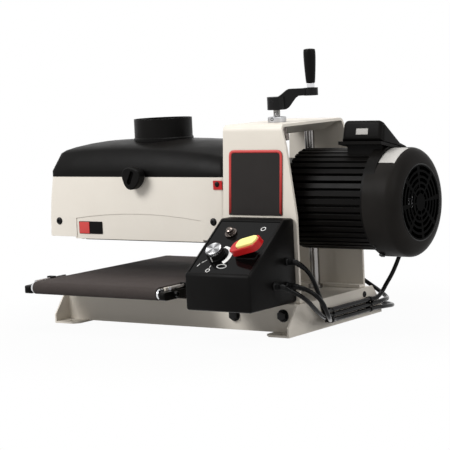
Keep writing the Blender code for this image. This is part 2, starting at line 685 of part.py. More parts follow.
def crank(crank_body, grip_body):
    """Lifting screw, crank arm with its rising curve, pin with ferrule and turning grip."""
    under = COLUMN_TOP - COLUMN_PLATE - GAP
    nut_low = AXIS_Z + CARRIAGE_ABOVE - NUT_LENGTH
    low = nut_low - LIFT_DOWN
    neck = SCREW_NECK / 2
    shoulder = under - BEARING_HEIGHT / 2
    profile = [(0.0, low), (SCREW_DIAMETER / 2, low), (SCREW_DIAMETER / 2, shoulder),
               (BEARING_DIAMETER / 3, shoulder), (BEARING_DIAMETER / 3, under), (neck, under),
               (neck, HUB_Z + CRANK_HUB_HEIGHT / 2), (0.0, HUB_Z + CRANK_HUB_HEIGHT / 2)]
    crank_body.add("lead_screw", turned(profile, 24, "Z", SCREW_AXIS), "steel")

    hub_reach = CRANK_HUB / 2
    hub_top = HUB_Z + CRANK_HUB_HEIGHT
    boss_top = BOSS_Z + CRANK_BOSS_HEIGHT
    steps = 14
    upper = []
    lower = []
    for k in range(steps + 1):
        out = CRANK_ARM * k / steps
        climb = ease(out / CRANK_RUN)
        upper.append((out, hub_top + (boss_top - hub_top) * climb - CRANK_INSET))
        climb = ease((out - hub_reach) / CRANK_RUN)
        lower.append((out, HUB_Z + CRANK_LIFT * climb + CRANK_INSET))
    arm = prism(lower + upper[::-1], "Y", -CRANK_WIDTH / 2, CRANK_WIDTH / 2)
    hub = rod(CRANK_HUB / 2, HUB_Z, hub_top, 24)
    boss = rod(CRANK_BOSS / 2, BOSS_Z, boss_top, 20, "Z", (CRANK_ARM, 0.0, 0.0))
    shape = fuse(arm, hub, boss)
    screw_hole = rod(neck + GAP, HUB_Z - SHEET, HUB_Z + CRANK_HUB_HEIGHT / 2 + GAP, 20)
    pin_hole = rod(PIN_DIAMETER / 2 + GAP, BOSS_Z - SHEET, BOSS_Z + CRANK_BOSS_HEIGHT + SHEET, 16, "Z",
                   (CRANK_ARM, 0.0, 0.0))
    shape = cut(shape, screw_hole, pin_hole)
    moved(shape, Matrix.Translation(SCREW_AXIS) @ Matrix.Rotation(math.radians(CRANK_ANGLE), 4, "Z"))
    crank_body.add("crank_arm", shape, "black")

    ferrule_low = boss_top + GAP
    ferrule_high = ferrule_low + FERRULE_HEIGHT
    pin_top = ferrule_high + GRIP_LENGTH * 0.8
    pin = PIN_DIAMETER / 2
    wide = FERRULE_DIAMETER / 2
    profile = [(0.0, BOSS_Z), (pin, BOSS_Z), (pin, ferrule_low), (wide, ferrule_low), (wide, ferrule_high),
               (pin, ferrule_high), (pin, pin_top), (0.0, pin_top)]
    crank_body.add("grip_pin", turned(profile, 20, "Z", GRIP_AXIS), "chrome")

    low = ferrule_high + GAP
    bore = pin + RUN
    wall = GRIP_BOTTOM / 2
    crown = GRIP_TOP / 2
    profile = [(bore, low), (wall * 0.92, low), (wall, low + GRIP_LENGTH * 0.03),
               (crown * 0.97, low + GRIP_LENGTH * 0.6), (crown, low + GRIP_LENGTH * 0.92),
               (crown * 0.9, low + GRIP_LENGTH * 0.975), (crown * 0.5, low + GRIP_LENGTH),
               (0.0, low + GRIP_LENGTH), (0.0, pin_top + RUN), (bore, pin_top + RUN)]
    grip_body.add("crank_grip", turned(profile, 20, "Z", GRIP_AXIS), "black")


def head_carriage(head):
    """Casting that slides on the posts, carries the housing on one side and the motor on the other."""
    top = AXIS_Z + CARRIAGE_ABOVE
    low = AXIS_Z - CARRIAGE_BELOW
    half = CARRIAGE_DEPTH / 2
    right = MOTOR_FACE - GAP
    frame = cut(block((CARRIAGE_LEFT, -half, low), (right, half, top)),
                block((CARRIAGE_LEFT + CARRIAGE_PLATE, -CARRIAGE_DEPTH, low + CARRIAGE_PLATE),
                      (right - CARRIAGE_PLATE, CARRIAGE_DEPTH, top - CARRIAGE_PLATE)))
    tunnel = rod(TUNNEL_RADIUS, CARRIAGE_LEFT + GAP, right - GAP, 16, "X", (0.0, 0.0, AXIS_Z))
    posts = [(POST_X, side * POST_SPACING / 2, 0.0) for side in (-1, 1)]
    proud = SHEET / 3
    sleeves = [rod(SLEEVE_RADIUS, low - proud, top + proud, 16, "Z", place) for place in posts]
    boss = rod(NUT_DIAMETER / 2 + SLEEVE_WALL / 2, top - NUT_LENGTH - proud, top + proud, 16, "Z", SCREW_AXIS)
    shape = fuse(frame, *sleeves, boss, tunnel)
    bores = [rod(POST_DIAMETER / 2 + RUN, low - SHEET, top + SHEET, 16, "Z", place) for place in posts]
    bores.append(rod(NUT_DIAMETER / 2 + GAP, top - NUT_LENGTH - SHEET, top + SHEET, 16, "Z", SCREW_AXIS))
    bores.append(rod(ARBOR_RADIUS + SHEET, CARRIAGE_LEFT - SHEET, right + SHEET, 16, "X", (0.0, 0.0, AXIS_Z)))
    head.add("head_carriage", cut(shape, *bores), "black")
    nut = ring(NUT_DIAMETER / 2, SCREW_DIAMETER / 2 + RUN, top - NUT_LENGTH, top - GAP, 24, "Z", SCREW_AXIS)
    head.add("lift_nut", nut, "bronze")


def plan_ring(left, right, half, corner, along_x, arc):
    """Points round a rectangle with round corners, seen from above, with points along its long sides."""
    sides = []
    for start, end in (((left + corner, -half), (right - corner, -half)),
                       ((right - corner, half), (left + corner, half))):
        sides.append([(start[0] + (end[0] - start[0]) * k / along_x, start[1]) for k in range(along_x + 1)])
    right_arcs = []
    left_arcs = []
    for k in range(1, arc):
        turn = math.pi / 2 * k / arc
        right_arcs.append((right - corner + corner * math.sin(turn), -half + corner - corner * math.cos(turn)))
        left_arcs.append((left + corner - corner * math.sin(turn), half - corner + corner * math.cos(turn)))
    right_end = right_arcs + [(right, -half + corner), (right, half - corner)]
    right_end += [(x, -y) for x, y in reversed(right_arcs)]
    left_end = left_arcs + [(left, half - corner), (left, -half + corner)]
    left_end += [(x, -y) for x, y in reversed(left_arcs)]
    return sides[0] + right_end + sides[1] + left_end


def skin(shape, rings):
    """Faces between successive rings of vertices."""
    for ring_a, ring_b in zip(rings, rings[1:]):
        count = len(ring_a)
        for k in range(count):
            ahead = (k + 1) % count
            shape.faces.new((ring_a[k], ring_a[ahead], ring_b[ahead], ring_b[k]))


def swell_at(height):
    """Share of the housing's outward swell that is reached at a height; it flattens towards the lower edge."""
    share = (height - SKIRT_Z) / (JOINT_Z - SKIRT_Z)
    return 1 - share * share


def drum_housing(head):
    """Cream housing over the drum: swelled walls, lips, bulkheads, hinge barrels and an arched relief."""
    shape = bmesh.new()
    rings = []
    heights = [SKIRT_Z + (JOINT_Z - SKIRT_Z) * share for share in (1.0, 0.66, 0.33, 0.0)]
    for inset, levels in ((0.0, heights), (HOUSING_WALL, heights[::-1])):
        for height in levels:
            grow = swell_at(height)
            outline = plan_ring(HOUSING_LEFT - END_SWELL * grow + inset, HOUSING_RIGHT - inset,
                                HOUSING_DEPTH / 2 + SIDE_SWELL * grow - inset, HOUSING_CORNER - inset, 1, 3)
            rings.append([shape.verts.new((x, y, height)) for x, y in outline])
    skin(shape, rings + rings[:1])
    outward(shape)
    half = HOUSING_DEPTH / 2 - HOUSING_WALL / 2
    bulkheads = []
    for side in (-1, 1):
        near = DRUM_CENTRE_X + side * CHAMBER
        far = near + side * HOUSING_WALL
        bulkheads.append(block((min(near, far), -half, SKIRT_Z), (max(near, far), half, JOINT_Z)))
    barrels = []
    rear = HOUSING_DEPTH / 2
    pins = HINGE_LENGTH / 2 + HINGE_LUG
    leaf_low = JOINT_Z - 4 * HINGE_RADIUS
    for side in (-1, 1):
        centre = DRUM_CENTRE_X + side * HINGE_SPREAD / 2
        origin = (centre, HINGE_Y, JOINT_Z)
        barrels.append(rod(HINGE_RADIUS, -HINGE_LENGTH / 2, HINGE_LENGTH / 2, 12, "X", origin))
        barrels.append(rod(HINGE_PIN, -pins, pins, 8, "X", origin))
        leaf = [(rear - HOUSING_WALL / 2, leaf_low),
                (rear + SIDE_SWELL * swell_at(leaf_low) + SHEET / 2, leaf_low),
                (HINGE_Y + HINGE_RADIUS * 0.8, JOINT_Z), (HINGE_Y, JOINT_Z),
                (rear - HOUSING_WALL / 2, JOINT_Z - HINGE_RADIUS)]
        barrels.append(prism(leaf, "X", centre - HINGE_LENGTH / 2, centre + HINGE_LENGTH / 2))
    relief_top = SKIRT_Z + RELIEF_HEIGHT + RELIEF_RISE
    relief_y = HOUSING_DEPTH / 2 + SIDE_SWELL * swell_at(relief_top) - RELIEF_DEPTH
    lips = []
    for side in (-1, 1):
        near = side * relief_y
        far = near - side * HOUSING_WALL
        lips.append(block((DRUM_CENTRE_X - LIP_SPAN, min(near, far), SKIRT_Z - LIP_DROP),
                          (DRUM_CENTRE_X + LIP_SPAN, max(near, far), SKIRT_Z + LIP_DROP)))
    shape = fuse(shape, *bulkheads, *barrels, *lips)
    axis = (DRUM_CENTRE_X, 0.0, AXIS_Z)
    holes = [rod(ARBOR_RADIUS + SHEET, CHAMBER - SHEET, HOUSING_RIGHT - DRUM_CENTRE_X + SHEET, 24, "X", axis),
             rod(ARBOR_RADIUS + SHEET, -CHAMBER - 2 * HOUSING_WALL, SHEET - CHAMBER, 24, "X", axis)]
    span = CHAMBER - HOUSING_WALL
    arch_low = SKIRT_Z - 2 * LIP_DROP
    arch = [(DRUM_CENTRE_X - span, arch_low), (DRUM_CENTRE_X + span + HOUSING_WALL, arch_low)]
    for k in range(9):
        share = 1 - k / 4
        arch.append((DRUM_CENTRE_X + span * share, SKIRT_Z + RELIEF_HEIGHT + RELIEF_RISE * (1 - share * share)))
    cutters = []
    for side in (-1, 1):
        deep = side * relief_y
        clear = side * HOUSING_DEPTH
        cutters.append(prism(arch, "Y", min(deep, clear), max(deep, clear)))
    head.add("drum_housing", cut(shape, *holes, *cutters), "cream")

    right = HOUSING_RIGHT - POINTER_INSET
    high = JOINT_Z - POINTER_DROP
    low = high - POINTER_HEIGHT
    face = -HOUSING_DEPTH / 2 - SIDE_SWELL * swell_at(low) - GAP
    plate = block((right - POINTER_WIDTH, face - PLATE, low), (right, face, high))
    head.add("height_pointer", plate, "red")


def bearings(head):
    """Flanged bearing units on the bulkheads' outer sides."""
    bore = ARBOR_RADIUS + RUN
    flange = BEARING_FACE + BEARING_LENGTH * 0.4
    for name, side in (("bearing_outboard", -1), ("bearing_inboard", 1)):
        profile = [(bore, BEARING_FACE), (BEARING_FLANGE, BEARING_FACE), (BEARING_FLANGE, flange),
                   (BEARING_BARREL, flange + SHEET), (BEARING_BARREL, BEARING_END), (bore, BEARING_END)]
        profile = [(radius, side * height) for radius, height in profile]
        head.add(name, turned(profile, 20, "X", (DRUM_CENTRE_X, 0.0, AXIS_Z)), "steel")


def motor(head):
    """Finned motor body with its end bell and rear shield, slotted fan cowl and terminal box."""
    axis = (0.0, 0.0, AXIS_Z)
    pitch = math.tau / MOTOR_FINS
    outline = []
    for k in range(MOTOR_FINS):
        centre = k * pitch + pitch / 2
        for radius, share in ((FIN_RADIUS, -0.5), (FIN_RADIUS, 0.5), (FIN_ROOT, 0.56),
                              (FIN_ROOT, 1 / FIN_LAND - 0.56)):
            angle = centre + share * FIN_LAND * pitch
            outline.append((radius * math.cos(angle), AXIS_Z + radius * math.sin(angle)))
    fins = prism(outline, "X", MOTOR_FACE + END_BELL, COWL_X - SHIELD_LENGTH / 2)
    bell_end = MOTOR_FACE + END_BELL + SHEET
    bell_profile = [(0.0, MOTOR_FACE), (FIN_ROOT - END_BELL / 2, MOTOR_FACE),
                    (FIN_ROOT, MOTOR_FACE + END_BELL / 2), (FIN_ROOT + SHEET, bell_end), (0.0, bell_end)]
    bell = turned(bell_profile, 28, "X", axis)
    shield_radius = (COWL_RADIUS - COWL_WALL) * math.cos(SLOT_STEP / 2) - GAP
    shield = rod(shield_radius, COWL_X - SHIELD_LENGTH, COWL_X + SHIELD_LENGTH, 32, "X", axis)
    shape = fuse(fins, bell, shield)
    rotor_low = MOTOR_FACE + END_BELL
    rotor_high = COWL_X - SHIELD_LENGTH
    bore = ARBOR_RADIUS + RUN
    room = ROTOR_RADIUS + ROTOR_GAP
    hollow = [(0.0, MOTOR_FACE - SHEET), (bore, MOTOR_FACE - SHEET), (bore, rotor_low), (room, rotor_low),
              (room, rotor_high), (bore, rotor_high), (bore, COWL_X + 2 * SHIELD_LENGTH),
              (0.0, COWL_X + 2 * SHIELD_LENGTH)]
    head.add("motor_body", cut(shape, turned(hollow, 24, "X", axis)), "black")

    head.add("motor_cowl", fan_cowl(), "black")
    terminal_box(head)


def fan_cowl():
    """Spun cowl with curved grille slots left open between its spokes."""
    end = COWL_X + COWL_LENGTH
    step = (GRILLE_RADIUS - GRILLE_HUB) / GRILLE_RINGS
    corner = GRILLE_RADIUS + GRILLE_RIM
    surfaces = []
    for wall in (0.0, COWL_WALL):
        reach = COWL_RADIUS - corner - wall
        depth = COWL_ROUND - wall
        profile = [(COWL_RADIUS - wall, COWL_X - SHIELD_LENGTH / 2)]
        for k in range(COWL_ARC + 1):
            turn = math.pi / 2 * k / COWL_ARC
            profile.append((corner + reach * math.cos(turn), end - COWL_ROUND + depth * math.sin(turn)))
        for row in range(GRILLE_RINGS, 0, -1):
            outer_edge = GRILLE_HUB + row * step
            profile.append((outer_edge - SLOT_MARGIN * step, end - wall))
            profile.append((outer_edge - (1 - SLOT_MARGIN) * step, end - wall))
        surfaces.append(profile)
    slotted = {COWL_ARC + 2 + 2 * row for row in range(GRILLE_RINGS)}
    angles = []
    for k in range(GRILLE_SPOKES):
        start = k * GRILLE_SECTOR
        angles.append(start)
        angles += [start + SPOKE_ANGLE + SLOT_STEP * part for part in range(SLOT_STEPS)]
    sides = len(angles)
    shape = bmesh.new()
    outer, inner = [[[shape.verts.new((x, radius * math.cos(angle), AXIS_Z + radius * math.sin(angle)))
                      for angle in angles] for radius, x in profile] for profile in surfaces]

    def is_open(band, side):
        return band in slotted and side % (SLOT_STEPS + 1) != 0

    for side in range(sides):
        ahead = (side + 1) % sides
        shape.faces.new((outer[0][side], outer[0][ahead], inner[0][ahead], inner[0][side]))
        for band in range(len(outer) - 1):
            above = band + 1
            if not is_open(band, side):
                for face in (outer, inner):
                    shape.faces.new((face[band][side], face[band][ahead], face[above][ahead], face[above][side]))
            if is_open(band, side) != is_open(band, side - 1):
                shape.faces.new((outer[band][side], outer[above][side], inner[above][side], inner[band][side]))
            if is_open(band, side):
                for edge in (band, above):
                    shape.faces.new((outer[edge][side], outer[edge][ahead], inner[edge][ahead], inner[edge][side]))
    shape.faces.new(outer[-1])
    shape.faces.new(inner[-1])
    return outward(shape)


def terminal_box(head):
    """Terminal box: a flange that falls to the rear on a neck seated on the motor's round, and its lid."""
    floor = AXIS_Z + BOX_FLOOR
    left = BOX_X - BOX_LENGTH / 2
    right = BOX_X + BOX_LENGTH / 2
    front = BOX_Y - BOX_DEPTH / 2
    rear = BOX_Y + BOX_DEPTH / 2

    def level(y, above):
        """Place at y on a plane parallel to the flange's underside."""
        return y, floor + above - BOX_FALL * (y - front) / BOX_DEPTH

    rim = front - BOX_FLANGE / 2
    outline = [level(rim, 0.0), level(rear, 0.0), level(rear, BOX_FLANGE), level(rim, BOX_FLANGE)]
    flange = prism(outline, "X", left - BOX_FLANGE, right)
    low = AXIS_Z + FIN_ROOT * 0.9
    near = front + BOX_NECK
    far = rear - BOX_NECK
    outline = [(near, low), (far, low), level(far, BOX_FLANGE / 2), level(near, BOX_FLANGE / 2)]
    neck = prism(outline, "X", left + BOX_NECK - BOX_FLANGE, right - BOX_NECK)
    inlet = rod(BOX_FLANGE * 0.9, rear - SHEET / 4, rear + GLAND_LENGTH, 16, "Y", (INLET_X, 0.0, INLET_Z))
    step_x = COWL_X - SHIELD_LENGTH - GAP
    axis = (0.0, 0.0, AXIS_Z)
    round_up = math.cos(math.pi / SEAT_SIDES)
    seats = [rod((FIN_RADIUS + GAP) / round_up, MOTOR_FACE, step_x + GAP, SEAT_SIDES, "X", axis),
             rod((COWL_RADIUS + GAP) / round_up, step_x, right + BOX_LENGTH, SEAT_SIDES, "X", axis)]
    head.add("junction_base", cut(fuse(neck, flange, inlet), *seats), "black")
    lid_base = BOX_FLANGE + GAP
    high = floor + BOX_HEIGHT
    shape = bmesh.new()
    bottom = [shape.verts.new((x, *level(y, lid_base))) for x, y in rectangle(left, front, right, rear)]
    top = [shape.verts.new(place) for place in (
        (left + BOX_LEAN, front + BOX_BACK, high), (right, front + BOX_BACK, high),
        (right, *level(rear, lid_base + BOX_REAR)), (left + BOX_LEAN, *level(rear, lid_base + BOX_REAR)))]
    shape.faces.new(bottom)
    shape.faces.new(top)
    skin(shape, [bottom, top])
    head.add("junction_lid", outward(shape), "black", BOX_ROUND, 3)


def drum(spindle):
    """Arbor, drum with open end webs, abrasive wrap, coupling, motor shaft with rotor, and cooling fan."""
    axis = (DRUM_CENTRE_X, 0.0, AXIS_Z)
    coupling_high = COUPLING_LOW + COUPLING_LENGTH
    middle = COUPLING_LOW + COUPLING_LENGTH / 2
    outboard = -BEARING_END - SHEET
    profile = [(0.0, outboard), (ARBOR_RADIUS, outboard), (ARBOR_RADIUS, middle - GAP), (0.0, middle - GAP)]
    spindle.add("drum_arbor", turned(profile, 24, "X", axis), "steel")
    shell = DRUM_DIAMETER / 2 - ABRASIVE - GAP
    half = DRUM_LENGTH / 2
    bore = ARBOR_RADIUS + GAP
    web = DRUM_WALL
    inner = shell - DRUM_WALL
    hub = ARBOR_RADIUS + DRUM_WALL
    profile = [(bore, -half), (hub, -half), (hub, -web), (inner, -web), (inner, -half), (shell, -half),
               (shell, half), (inner, half), (inner, web), (hub, web), (hub, half), (bore, half)]
    spindle.add("sanding_drum", turned(profile, 24, "X", axis), "aluminium")
    spindle.add("abrasive_wrap", ring(DRUM_DIAMETER / 2, shell + GAP, -half, half, 24, "X", axis), "grit")
    profile = [(bore, COUPLING_LOW), (COUPLING_RADIUS - SHEET / 2, COUPLING_LOW),
               (COUPLING_RADIUS, COUPLING_LOW + SHEET / 2), (COUPLING_RADIUS, coupling_high - SHEET / 2),
               (COUPLING_RADIUS - SHEET / 2, coupling_high), (bore, coupling_high)]
    spindle.add("shaft_coupling", turned(profile, 18, "X", axis), "steel")
    start = DRUM_CENTRE_X + middle + GAP
    rotor_low = MOTOR_FACE + END_BELL + SHEET
    rotor_high = COWL_X - SHIELD_LENGTH - SHEET
    fan_low = COWL_X + SHIELD_LENGTH + SHEET
    fan_high = fan_low + FAN_LENGTH
    profile = [(0.0, start), (ARBOR_RADIUS, start), (ARBOR_RADIUS, rotor_low), (ROTOR_RADIUS, rotor_low),
               (ROTOR_RADIUS, rotor_high), (ARBOR_RADIUS, rotor_high), (ARBOR_RADIUS, fan_high),
               (0.0, fan_high)]
    spindle.add("motor_shaft", turned(profile, 20, "X", (0.0, 0.0, AXIS_Z)), "steel")
    hub = ARBOR_RADIUS + DRUM_WALL
    outline = []
    for k in range(FAN_BLADES):
        middle = k * math.tau / FAN_BLADES
        for radius, side in ((hub, -1), (FAN_RADIUS, -1), (FAN_RADIUS, 1), (hub, 1)):
            angle = middle + side * SHEET / 2 / radius
            outline.append((radius * math.cos(angle), AXIS_Z + radius * math.sin(angle)))
    blades = prism(outline, "X", fan_low, fan_high)
    disc = rod(FAN_RADIUS + SHEET, fan_low - SHEET / 2, fan_low + SHEET / 2, 28, "X", (0.0, 0.0, AXIS_Z))
    hole = rod(bore, fan_low - SHEET, fan_high + SHEET, 24, "X", (0.0, 0.0, AXIS_Z))
    spindle.add("cooling_fan", cut(fuse(blades, disc), hole), "black")


def pressure_rollers(hangers, rollers):
    """Sprung hangers inside the housing with a roller each, before and after the drum."""
    half = DRUM_LENGTH / 2
    wall = HOUSING_DEPTH / 2 - HOUSING_WALL
    for side, word in ((-1, "infeed"), (1, "outfeed")):
        centre_y = side * PRESS_Y
        back = side * (wall - 2 * GAP)
        front = back - side * HANGER_WIDTH
        y_low, y_high = min(back, front), max(back, front)
        top = PRESS_Z + HANGER_HEIGHT - PRESS_DIAMETER / 2
        arm_low = half + SHEET / 2
        arm_high = arm_low + HANGER_SHEET
        bar = block((DRUM_CENTRE_X - arm_high, y_low, top - HANGER_SHEET),
                    (DRUM_CENTRE_X + arm_high, y_high, top))
        reach = PRESS_DIAMETER / 2 - SHEET / 2
        arm_near = min(centre_y - reach, y_low)
        arm_far = max(centre_y + reach, y_high)
        arm = rounded(rectangle(arm_near, PRESS_Z - reach, arm_far, top), [reach, reach, 0.0, 0.0])
        arms = [prism(arm, "X", DRUM_CENTRE_X + min(end * arm_low, end * arm_high),
                      DRUM_CENTRE_X + max(end * arm_low, end * arm_high)) for end in (-1, 1)]
        origin = (DRUM_CENTRE_X, centre_y, PRESS_Z)
        bore = rod(PRESS_JOURNAL / 2 + RUN, -arm_high - SHEET, arm_high + SHEET, 16, "X", origin)
        hangers[word].add("pressure_hanger_" + word, cut(fuse(bar, *arms), bore), "steel")
        journal = PRESS_JOURNAL / 2
        radius = PRESS_DIAMETER / 2
        profile = [(0.0, -arm_high), (journal, -arm_high), (journal, -half), (radius, -half), (radius, half),
                   (journal, half), (journal, arm_high), (0.0, arm_high)]
        rollers[word].add("pressure_roller_" + word, turned(profile, 16, "X", origin), "rubber")


def dust_cover(cover, latch):
    """Moulded arched lid with its hose port, hinge lugs and latch tab, and the latch knob."""
    low = JOINT_Z + GAP
    half = HOUSING_DEPTH / 2
    reach = (HOUSING_RIGHT - HOUSING_LEFT) / 2
    centre = (HOUSING_RIGHT + HOUSING_LEFT) / 2

    def crease(x):
        return JOINT_Z + COVER_CREASE - CREASE_FALL * ((x - centre + CREASE_SHIFT) / reach) ** 2

    def crown(x):
        return JOINT_Z + COVER_CROWN - CROWN_FALL * ((x - centre) / reach) ** 2

    # each level: inset in leans, share of the way up to the crease, then share of the way on to the crown
    levels = [(0.0, 0.0, 0.0), (0.0, 0.22, 0.0), (0.66, 0.90, 0.0), (1.0, 1.0, 0.0),
              (1.7, 1.0, 0.40), (2.7, 1.0, 0.75), (3.9, 1.0, 0.96)]
    shape = bmesh.new()
    loops = []
    for wall in (0.0, COVER_WALL):
        rings = []
        for leans, climb, arch in levels:
            inset = COVER_LEAN * leans
            edge = inset + wall
            corner = min(HOUSING_CORNER + 0.25 * inset - wall, 0.9 * (half - edge))
            right = HOUSING_RIGHT - 0.35 * inset - wall
            outline = plan_ring(HOUSING_LEFT + edge, right, half - edge, corner, 8, 3)
            drop = wall if climb else 0.0
            ring_points = []
            for x, y in outline:
                height = low + climb * (crease(x) - low) + arch * (crown(x) - crease(x)) - drop
                ring_points.append(shape.verts.new((x, y, height)))
            rings.append(ring_points)
        loops.append(rings)
    outer, inner = loops
    skin(shape, outer[::-1] + inner)
    shape.faces.new(outer[-1])
    shape.faces.new(inner[-1])
    outward(shape)
    bmesh.ops.triangulate(shape, faces=[face for face in shape.faces if len(face.verts) > 4])
    middle = DRUM_CENTRE_X
    port = PORT_DIAMETER / 2
    ridge = JOINT_Z + COVER_CROWN
    foot = ridge - 4 * COVER_WALL
    wide = port + PORT_BEAD
    profile = [(0.0, foot), (port, foot), (wide, ridge - COVER_WALL), (wide, ridge + PORT_BEAD),
               (port, ridge + 2 * PORT_BEAD), (port, ridge + PORT_HEIGHT), (0.0, ridge + PORT_HEIGHT)]
    spin = Matrix.Translation((middle - PORT_SHIFT, 0.0, 0.0)) @ Matrix.Rotation(math.radians(5), 4, "Z")
    tube_piece = moved(turned(profile, 28, "Z"), spin)
    bore = moved(rod(port - PORT_WALL, ridge - 8 * COVER_WALL, ridge + 2 * PORT_HEIGHT, 28), spin)
    lugs = []
    for side in (-1, 1):
        for end in (-1, 1):
            inside = middle + side * HINGE_SPREAD / 2 + end * (HINGE_LENGTH / 2 + GAP)
            outside = inside + end * HINGE_LUG
            root_y = half - COVER_WALL * 0.6
            outline = [(root_y, low + SHEET / 3), (HINGE_Y - HINGE_RADIUS, low + GAP),
                       *[(HINGE_Y + HINGE_RADIUS * math.sin(turn), JOINT_Z - HINGE_RADIUS * math.cos(turn))
                         for turn in (-0.9, 0.0, 0.9, 1.8, 2.7)], (root_y, JOINT_Z + 2.2 * HINGE_RADIUS)]
            lugs.append(prism(outline, "X", min(inside, outside), max(inside, outside)))
    eyes = [rod(HINGE_PIN + RUN, -HINGE_LENGTH, HINGE_LENGTH, 8, "X",
                (middle + side * HINGE_SPREAD / 2, HINGE_Y, JOINT_Z)) for side in (-1, 1)]
    radius = LATCH_TAB / 2
    face = -half - SIDE_SWELL * swell_at(JOINT_Z - radius) - GAP
    knob_x = middle + LATCH_SHIFT
    tab = rod(radius, face - LATCH_SHEET, face, 24, "Y", (knob_x, 0.0, JOINT_Z))
    hold_half = radius * 0.8
    hold = prism(rectangle(knob_x - hold_half, low + SHEET / 3, knob_x + hold_half, JOINT_Z + radius * 0.75),
                 "Y", face - LATCH_SHEET * 0.8, -half + COVER_WALL * 0.7)
    seat = face - LATCH_SHEET * 0.3
    spindle_hole = rod(HINGE_PIN + SHEET / 2, face - 2 * LATCH_SHEET, seat, 16, "Y", (knob_x, 0.0, JOINT_Z))
    shape = fuse(shape, tube_piece, *lugs, tab, hold)
    cover.add("dust_cover", cut(shape, bore, *eyes, spindle_hole), "black")

    front = face - LATCH_SHEET - GAP
    outline = []
    for k in range(30):
        angle = math.tau * k / 30
        lobe = 1.0 - 0.13 * (0.5 - 0.5 * math.cos(3 * (angle - math.radians(20))))
        out = KNOB_DIAMETER / 2 * lobe
        outline.append((knob_x + out * math.cos(angle), JOINT_Z + out * math.sin(angle)))
    disc = soften(prism(outline, "Y", front - KNOB_DEPTH, front), KNOB_DEPTH / 12, 1)
    stub = rod(HINGE_PIN + SHEET / 2 - RUN, front - SHEET, seat - GAP, 16, "Y", (knob_x, 0.0, JOINT_Z))
    slot_x = KNOB_DIAMETER * 0.09
    slot_z = KNOB_DIAMETER * 0.30
    slot = rounded(rectangle(-slot_x, -slot_z, slot_x, slot_z), KNOB_DIAMETER * 0.085, 3)
    pocket = prism(slot, "Y", -KNOB_DEPTH * 0.35, KNOB_DEPTH)
    turn = Matrix.Translation((knob_x, front - KNOB_DEPTH, JOINT_Z)) @ Matrix.Rotation(math.radians(25), 4, "Y")
    moved(pocket, turn @ Matrix.Translation((0.0, -KNOB_DEPTH * 0.65, 0.0)))
    latch.add("latch_knob", cut(fuse(disc, stub), pocket), "black")


